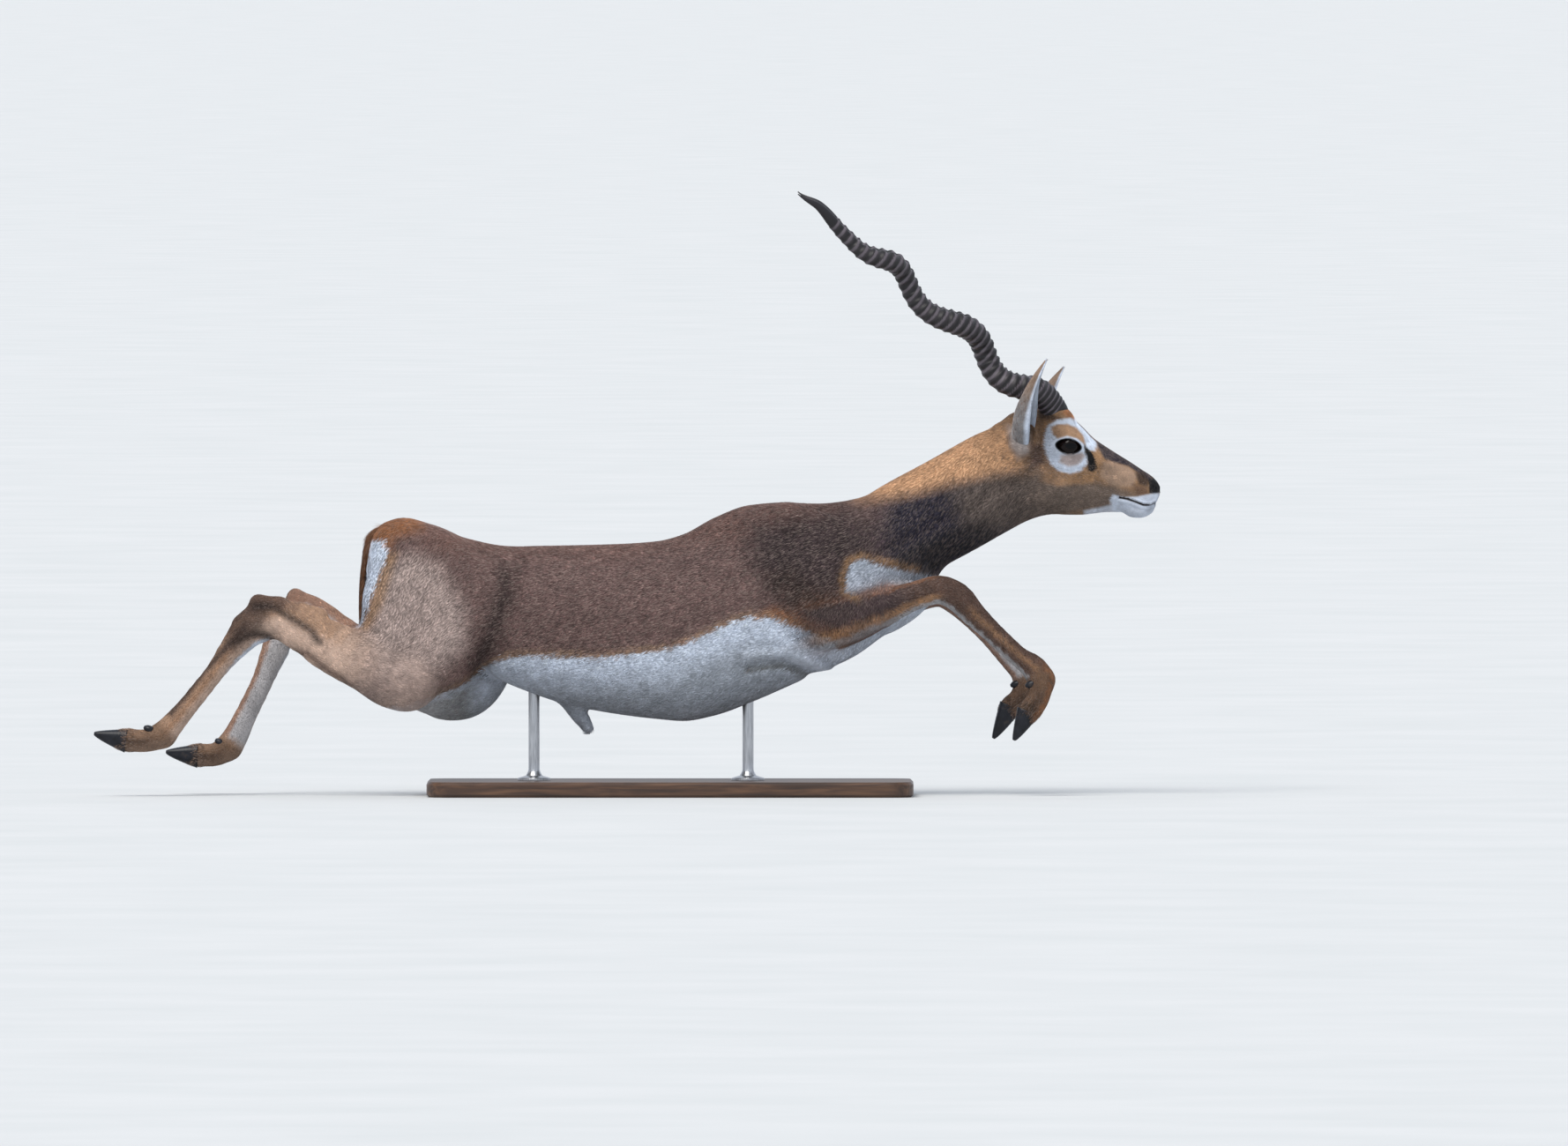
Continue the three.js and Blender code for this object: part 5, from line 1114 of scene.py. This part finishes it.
# %% Length, width, direction and colour of each tuft
about = facts_of(roots, root_normals, root_kind)
about["stray"] = rng.normal(0, 0.35, len(roots))
SIZE = {"trunk": (8.6, 1.6, 0.9), "neck": (8.2, 1.5, 0.9), "head": (4.0, 0.85, 0.4),
        "legs": (6, 1.15, 0.45)}  # length, width, height
long, wide, high = (sum(about["share"][part] * size[i] for part, size in SIZE.items())
                    for i in range(3))
muzzle = about["share"]["head"] * smooth(620, 670, roots[:, 0])
long, wide = long * (1 - 0.4 * muzzle), wide * (1 - 0.3 * muzzle)
edge_of_eye = about["share"]["head"] * smooth(9, 3.5, tube(mirrored(roots), RIM, 0))
long = long * (1 - 0.5 * edge_of_eye)
thin = about["share"]["legs"] * smooth(2, 5, about["row"])
long, high = long * (1 - 0.25 * thin), high * (1 - 0.3 * thin)
on_tail, on_ear = root_kind == 1, root_kind > 1
long[on_tail], wide[on_tail], high[on_tail] = 16, 1.2, 1.4
long[on_ear], wide[on_ear], high[on_ear] = 5, 0.7, 0.4
coronet = about["share"]["legs"] * smooth(11.2, 11.5, about["row"])
high, long = high + 1.6 * coronet, long + 2 * coronet
long *= rng.uniform(0.75, 1.25, len(roots))
wide *= rng.uniform(0.8, 1.2, len(roots))
lie = lie_of(roots, about)
across = np.cross(root_normals, lie)
sway = rng.normal(0, 0.13, len(roots))[:, None]
lie = unit(lie * np.cos(sway) + across * np.sin(sway))
across = np.cross(root_normals, lie)
cell = np.floor(roots / (4.0, 4.0, 6.0)).astype(np.int64) * (73856093, 19349663, 83492791)
clump = rng.normal(0, 0.24, 4096)[np.bitwise_xor.reduce(cell, axis=1) % 4096]
colour = colour_of(roots, about)
calm = 1 - 0.6 * smooth(0.2, 0.55, colour.mean(1))
shade = np.exp((rng.normal(-0.03, 0.2, len(roots)) + clump * (root_kind == 0)) * calm)
colour = colour * shade[:, None]
dark = smooth(0.34, 0.14, colour.mean(1)) * (rng.random(len(roots)) < 0.34)
tip_colour = laid(colour, dark * 0.45, tone(212, 190, 178))

# %% Build the blades
def blades():
    tip = roots + lie * long[:, None]
    free = root_kind == 0
    lift = np.clip(high[free] - fine_form(tip[free]), -4, 4)
    tip[free] += root_normals[free] * lift[:, None]
    tip[~free] += root_normals[~free] * high[~free][:, None]
    half = across * (wide / 2)[:, None]
    base = roots - root_normals * 0.55
    ridge = roots - root_normals * 0.05 + lie * (0.12 * long)[:, None]
    return np.stack([base - half, base + half, ridge, tip], 1)

BLADE = np.array([(0, 1, 3), (0, 3, 2), (1, 2, 3), (0, 2, 1)])
PATCH = np.array([(-1, -1), (1, -1), (0, -0.6), (0, 1)]) * 0.0015
# painted shade at each blade's root and painted light at its tip
ROOT_SHADE_TIP_LIGHT = np.array([0.86, 0.86, 0.94, 1.08])
blade_points = blades()

def coat(name, pick):
    index = np.flatnonzero(pick)
    n = len(index)
    mesh = bpy.data.meshes.new(name)
    faces = (BLADE[None] + 4 * np.arange(n)[:, None, None]).reshape(-1)
    mesh.vertices.add(4 * n)
    mesh.vertices.foreach_set("co", (blade_points[index] * MM).astype(np.float32).ravel())
    mesh.loops.add(12 * n)
    mesh.loops.foreach_set("vertex_index", faces.astype(np.int32))
    mesh.polygons.add(4 * n)
    mesh.polygons.foreach_set("loop_start", np.arange(0, 12 * n, 3, dtype=np.int32))
    mesh.update(calc_edges=True)
    uv = (root_uv[index][:, None, :] + PATCH[None]).reshape(-1, 2)[faces]
    mesh.uv_layers.new(name="OFBake").data.foreach_set("uv", uv.astype(np.float32).ravel())
    piece = bpy.data.objects.new(name, mesh)
    bpy.context.collection.objects.link(piece)
    # painted shade at the root and painted light at the tip of each blade
    tints = colour[index][:, None, :] * ROOT_SHADE_TIP_LIGHT[None, :, None]
    tints[:, 3] = tip_colour[index] * ROOT_SHADE_TIP_LIGHT[3]
    tints = tints.reshape(-1, 3)
    attribute(piece, "tint", "FLOAT_COLOR", with_alpha(tints), "color")
    only(piece)
    bpy.ops.object.shade_smooth()
    return piece

# %% Cut the coat into pieces
share = about["share"]
part = np.argmax(np.stack([share["trunk"], share["neck"], share["head"], share["legs"]]), 0)
part = np.where(root_kind == 1, 4, np.where(root_kind > 1, 5, part))
coats = {}
MOST_TUFTS = 48000  # in one piece, four faces each
for number, word in enumerate(("body", "neck", "head", "legs", "tail", "ears")):
    mine = np.flatnonzero(part == number)
    mine = mine[np.argsort(roots[mine, 0])]
    for k, piece_of in enumerate(np.array_split(mine, max(1, -(-len(mine) // MOST_TUFTS)))):
        pick = np.zeros(len(roots), bool)
        pick[piece_of] = True
        coats[coat(f"coat_{word}_{k + 1}", pick)] = word
print("coat pieces:", {c.name: len(c.data.polygons) for c in coats})

# %% [markdown]
# Every finish is made of nodes. Hair takes its colour from the painted attribute and a fine
# noise, with a dull gloss. The skin below has the same colours at 0.8, as painted shade under the
# hair, and a noise that is drawn out along the lie gives it the grain of short fur.
# %% Nodes, links and a plain start for a material
def finish(name, **sockets):
    material = bpy.data.materials.new(name)
    material.use_nodes = True
    nodes = material.node_tree.nodes
    shader = nodes["Principled BSDF"]
    for key, value in sockets.items():
        shader.inputs[key.replace("_", " ")].default_value = value
    def node(kind, **settings):
        made = nodes.new("ShaderNode" + kind)
        for key, value in settings.items():
            if hasattr(made, key):
                setattr(made, key, value)
            else:
                made.inputs[key.replace("_", " ")].default_value = value
        return made
    return material, shader, node, material.node_tree.links.new

def ramp(node, *stops):
    made = node("ValToRGB")
    elements = made.color_ramp.elements
    while len(elements) < len(stops):
        elements.new(0.5)
    for element, (at, colour) in zip(elements, stops):
        element.position, element.color = at, (*colour, 1)
    return made

# %% Fur and skin
def fur(name, bump, **sockets):
    material, shader, node, link = finish(name, **sockets)
    tint = node("Attribute", attribute_name="tint")
    place_ = node("TexCoord")
    mottle = node("TexNoise", Scale=55.0, Detail=4.0)
    link(place_.outputs["Object"], mottle.inputs["Vector"])
    strength = node("MapRange", From_Min=0.3, From_Max=0.7, To_Min=0.82, To_Max=1.18)
    link(mottle.outputs[0], strength.inputs["Value"])
    mix = node("VectorMath", operation="SCALE")
    link(tint.outputs["Color"], mix.inputs[0])
    link(strength.outputs["Result"], mix.inputs["Scale"])
    link(mix.outputs["Vector"], shader.inputs["Base Color"])
    if bump:
        lie_ = node("Attribute", attribute_name="lie")
        dot = node("VectorMath", operation="DOT_PRODUCT")
        link(place_.outputs["Object"], dot.inputs[0])
        link(lie_.outputs["Vector"], dot.inputs[1])
        along = node("VectorMath", operation="SCALE")
        link(lie_.outputs["Vector"], along.inputs[0])
        link(dot.outputs["Value"], along.inputs["Scale"])
        short = node("VectorMath", operation="SCALE", Scale=-0.88)
        link(along.outputs["Vector"], short.inputs[0])
        drawn = node("VectorMath", operation="ADD")
        link(place_.outputs["Object"], drawn.inputs[0])
        link(short.outputs["Vector"], drawn.inputs[1])
        grain = node("TexNoise", Scale=900.0, Detail=3.0)
        link(drawn.outputs["Vector"], grain.inputs["Vector"])
        relief = node("Bump", Strength=0.6, Distance=0.0008)
        link(grain.outputs[0], relief.inputs["Height"])
        link(relief.outputs["Normal"], shader.inputs["Normal"])
    return material

skin_fur = fur("short_fur", True, Roughness=0.7, Specular_IOR_Level=0.25)
hair = fur("tuft_hair", False, Roughness=0.55, Specular_IOR_Level=0.35)
print("fur:", skin_fur.name, hair.name)

# %% [markdown]
# Horn is ringed keratin: dark in the valleys, paler and worn on the crests, and black and
# polished towards the tip. The hooves are nearly black with a grey bloom, and the eye is one
# clear wet coat over a dark brown iris and a black, lying pupil.
# %% Horn, hoof and eye
def horn_finish():
    material, shader, node, link = finish("ringed_horn", Roughness=0.5, Specular_IOR_Level=0.4)
    ridge, along = node("Attribute", attribute_name="ridge"), node("Attribute", attribute_name="along")
    place_ = node("TexCoord")
    noise = node("TexNoise", Scale=140.0, Detail=6.0)
    link(place_.outputs["Object"], noise.inputs["Vector"])
    worn = node("Math", operation="MULTIPLY_ADD")
    link(noise.outputs[0], worn.inputs[0])
    worn.inputs[1].default_value = 0.5
    link(ridge.outputs["Fac"], worn.inputs[2])
    crest = ramp(node, (0.3, tone(18, 16, 18)), (0.72, tone(46, 41, 45)), (1.0, tone(90, 83, 89)))
    link(worn.outputs[0], crest.inputs["Fac"])
    tip = node("Mix", data_type="RGBA")
    fade = node("MapRange", From_Min=0.84, From_Max=0.92)
    link(along.outputs["Fac"], fade.inputs["Value"])
    link(fade.outputs["Result"], tip.inputs[0])
    link(crest.outputs["Color"], tip.inputs[6])
    tip.inputs[7].default_value = (*tone(30, 27, 32), 1)
    link(tip.outputs[2], shader.inputs["Base Color"])
    relief = node("Bump", Strength=0.5, Distance=0.0011)
    link(noise.outputs[0], relief.inputs["Height"])
    link(relief.outputs["Normal"], shader.inputs["Normal"])
    return material

def hoof_finish():
    material, shader, node, link = finish("black_hoof", Roughness=0.32, Specular_IOR_Level=0.3)
    place_ = node("TexCoord")
    noise = node("TexNoise", Scale=90.0, Detail=5.0)
    link(place_.outputs["Object"], noise.inputs["Vector"])
    tones = ramp(node, (0.35, tone(12, 13, 18)), (0.6, tone(24, 26, 34)), (0.78, tone(58, 50, 46)))
    link(noise.outputs[0], tones.inputs["Fac"])
    link(tones.outputs["Color"], shader.inputs["Base Color"])
    gloss = node("MapRange", To_Min=0.25, To_Max=0.5)
    link(noise.outputs[0], gloss.inputs["Value"])
    link(gloss.outputs["Result"], shader.inputs["Roughness"])
    return material

def eye_finish():
    material, shader, node, link = finish("wet_eye", Roughness=0.05, Specular_IOR_Level=0.14)
    oval = node("Attribute", attribute_name="oval")
    tones = ramp(node, (0.0, tone(4, 4, 6)), (0.42, tone(5, 5, 7)), (0.5, tone(20, 13, 11)),
                 (1.0, tone(12, 8, 8)))
    place_ = node("TexCoord")
    noise = node("TexNoise", Scale=300.0, Detail=3.0)
    link(place_.outputs["Object"], noise.inputs["Vector"])
    sum_ = node("Math", operation="MULTIPLY_ADD")
    link(noise.outputs[0], sum_.inputs[0])
    sum_.inputs[1].default_value = 0.1
    half = node("Math", operation="MULTIPLY")
    half.inputs[1].default_value = 0.42
    link(oval.outputs["Fac"], half.inputs[0])
    link(half.outputs[0], sum_.inputs[2])
    link(sum_.outputs[0], tones.inputs["Fac"])
    link(tones.outputs["Color"], shader.inputs["Base Color"])
    return material

# %% [markdown]
# The stand stays quiet: dark oiled wood, whose grain is a stretched noise along the board, and
# brushed steel, whose fine lines run up the rods.
# %% Wood, steel and floor
def wood_finish():
    material, shader, node, link = finish("dark_wood", Roughness=0.42)
    place_, turned = node("TexCoord"), node("Mapping")
    turned.inputs["Scale"].default_value = (2.2, 26, 26)
    link(place_.outputs["Object"], turned.inputs["Vector"])
    grain = node("TexNoise", Scale=5.0, Detail=8.0, Distortion=0.6)
    link(turned.outputs["Vector"], grain.inputs["Vector"])
    tones = ramp(node, (0.3, tone(44, 30, 22)), (0.5, tone(70, 48, 34)), (0.7, tone(96, 68, 48)))
    link(grain.outputs[0], tones.inputs["Fac"])
    link(tones.outputs["Color"], shader.inputs["Base Color"])
    relief = node("Bump", Strength=0.25, Distance=0.0005)
    link(grain.outputs[0], relief.inputs["Height"])
    link(relief.outputs["Normal"], shader.inputs["Normal"])
    return material

def steel_finish():
    material, shader, node, link = finish("brushed_steel", Metallic=1.0, Roughness=0.3)
    place_, turned = node("TexCoord"), node("Mapping")
    turned.inputs["Scale"].default_value = (1, 1, 0.05)
    link(place_.outputs["Object"], turned.inputs["Vector"])
    lines = node("TexNoise", Scale=900.0, Detail=3.0)
    link(turned.outputs["Vector"], lines.inputs["Vector"])
    tones = ramp(node, (0.3, tone(160, 162, 166)), (0.7, tone(205, 207, 210)))
    link(lines.outputs[0], tones.inputs["Fac"])
    link(tones.outputs["Color"], shader.inputs["Base Color"])
    gloss = node("MapRange", To_Min=0.24, To_Max=0.42)
    link(lines.outputs[0], gloss.inputs["Value"])
    link(gloss.outputs["Result"], shader.inputs["Roughness"])
    return material

def floor_finish():
    material, shader, node, link = finish("pale_floor", Roughness=0.9, Specular_IOR_Level=0.1)
    place_ = node("TexCoord")
    noise = node("TexNoise", Scale=3.0, Detail=3.0)
    link(place_.outputs["Object"], noise.inputs["Vector"])
    tones = ramp(node, (0.3, tone(199, 201, 201)), (0.7, tone(205, 206, 206)))
    link(noise.outputs[0], tones.inputs["Fac"])
    link(tones.outputs["Color"], shader.inputs["Base Color"])
    return material

ringed_horn, black_hoof, wet_eye = horn_finish(), hoof_finish(), eye_finish()
dark_wood, brushed_steel, pale_floor = wood_finish(), steel_finish(), floor_finish()

# %% [markdown]
# Each piece gets its finish and moves with the one body, and the frame's nodes it replaces are
# hidden. The base keeps its own shape and only gets its wood.
# %% Finish every piece
def dress(piece, material, slot, *nodes):
    piece.data.materials.clear()
    piece.data.materials.append(material)
    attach(piece, "root")
    if nodes:
        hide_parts(*nodes)

SLOTS = {"body": "body_coat", "neck": "neck_coat", "head": "head_coat", "legs": "leg_coat",
         "tail": "tail_coat", "ears": "ear_coat"}
dress(skin, skin_fur, "body_coat", *flesh_nodes)
for piece, word in coats.items():
    dress(piece, hair, SLOTS[word])
for piece, side in zip(eyes, ("right", "left")):
    dress(piece, wet_eye, "eye", "eye_" + side)
for piece, side in zip(horns, ("right", "left")):
    dress(piece, ringed_horn, "horn", "horn_" + side)
for node, piece in hooves.items():
    dress(piece, black_hoof, "hoof", node)
for node, piece in rods.items():
    dress(piece, brushed_steel, "stand_steel", node)
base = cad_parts["stand_base"]
for slot_ in base.material_slots:
    slot_.material = dark_wood
print("pieces dressed:", 1 + len(coats) + len(eyes) + len(horns) + len(hooves) + len(rods))

# %% [markdown]
# A pale floor runs far out, a wide soft sun stands high at the left behind the camera, and a
# pale world fills the shadows with a little blue, as an open sky does.
# %% Floor and light
bpy.ops.object.select_all(action="DESELECT")
bpy.ops.mesh.primitive_plane_add(size=1000, location=(0, 0, 0))
floor = bpy.context.object
floor.name = floor.data.name = "floor"
floor.data.materials.append(pale_floor)

world = bpy.data.worlds.new("sky")
world.use_nodes = True
world.node_tree.nodes["Background"].inputs["Color"].default_value = (0.84, 0.9, 1.0, 1)
world.node_tree.nodes["Background"].inputs["Strength"].default_value = 0.86
bpy.context.scene.world = world
sun = bpy.data.objects.new("sun", bpy.data.lights.new("sun", "SUN"))
bpy.context.collection.objects.link(sun)
sun.data.energy, sun.data.angle, sun.data.color = 2.6, math.radians(35), (1.0, 0.97, 0.92)
sun.rotation_euler = (math.radians(38), 0, math.radians(-25))
bpy.context.scene.view_settings.view_transform = "Standard"
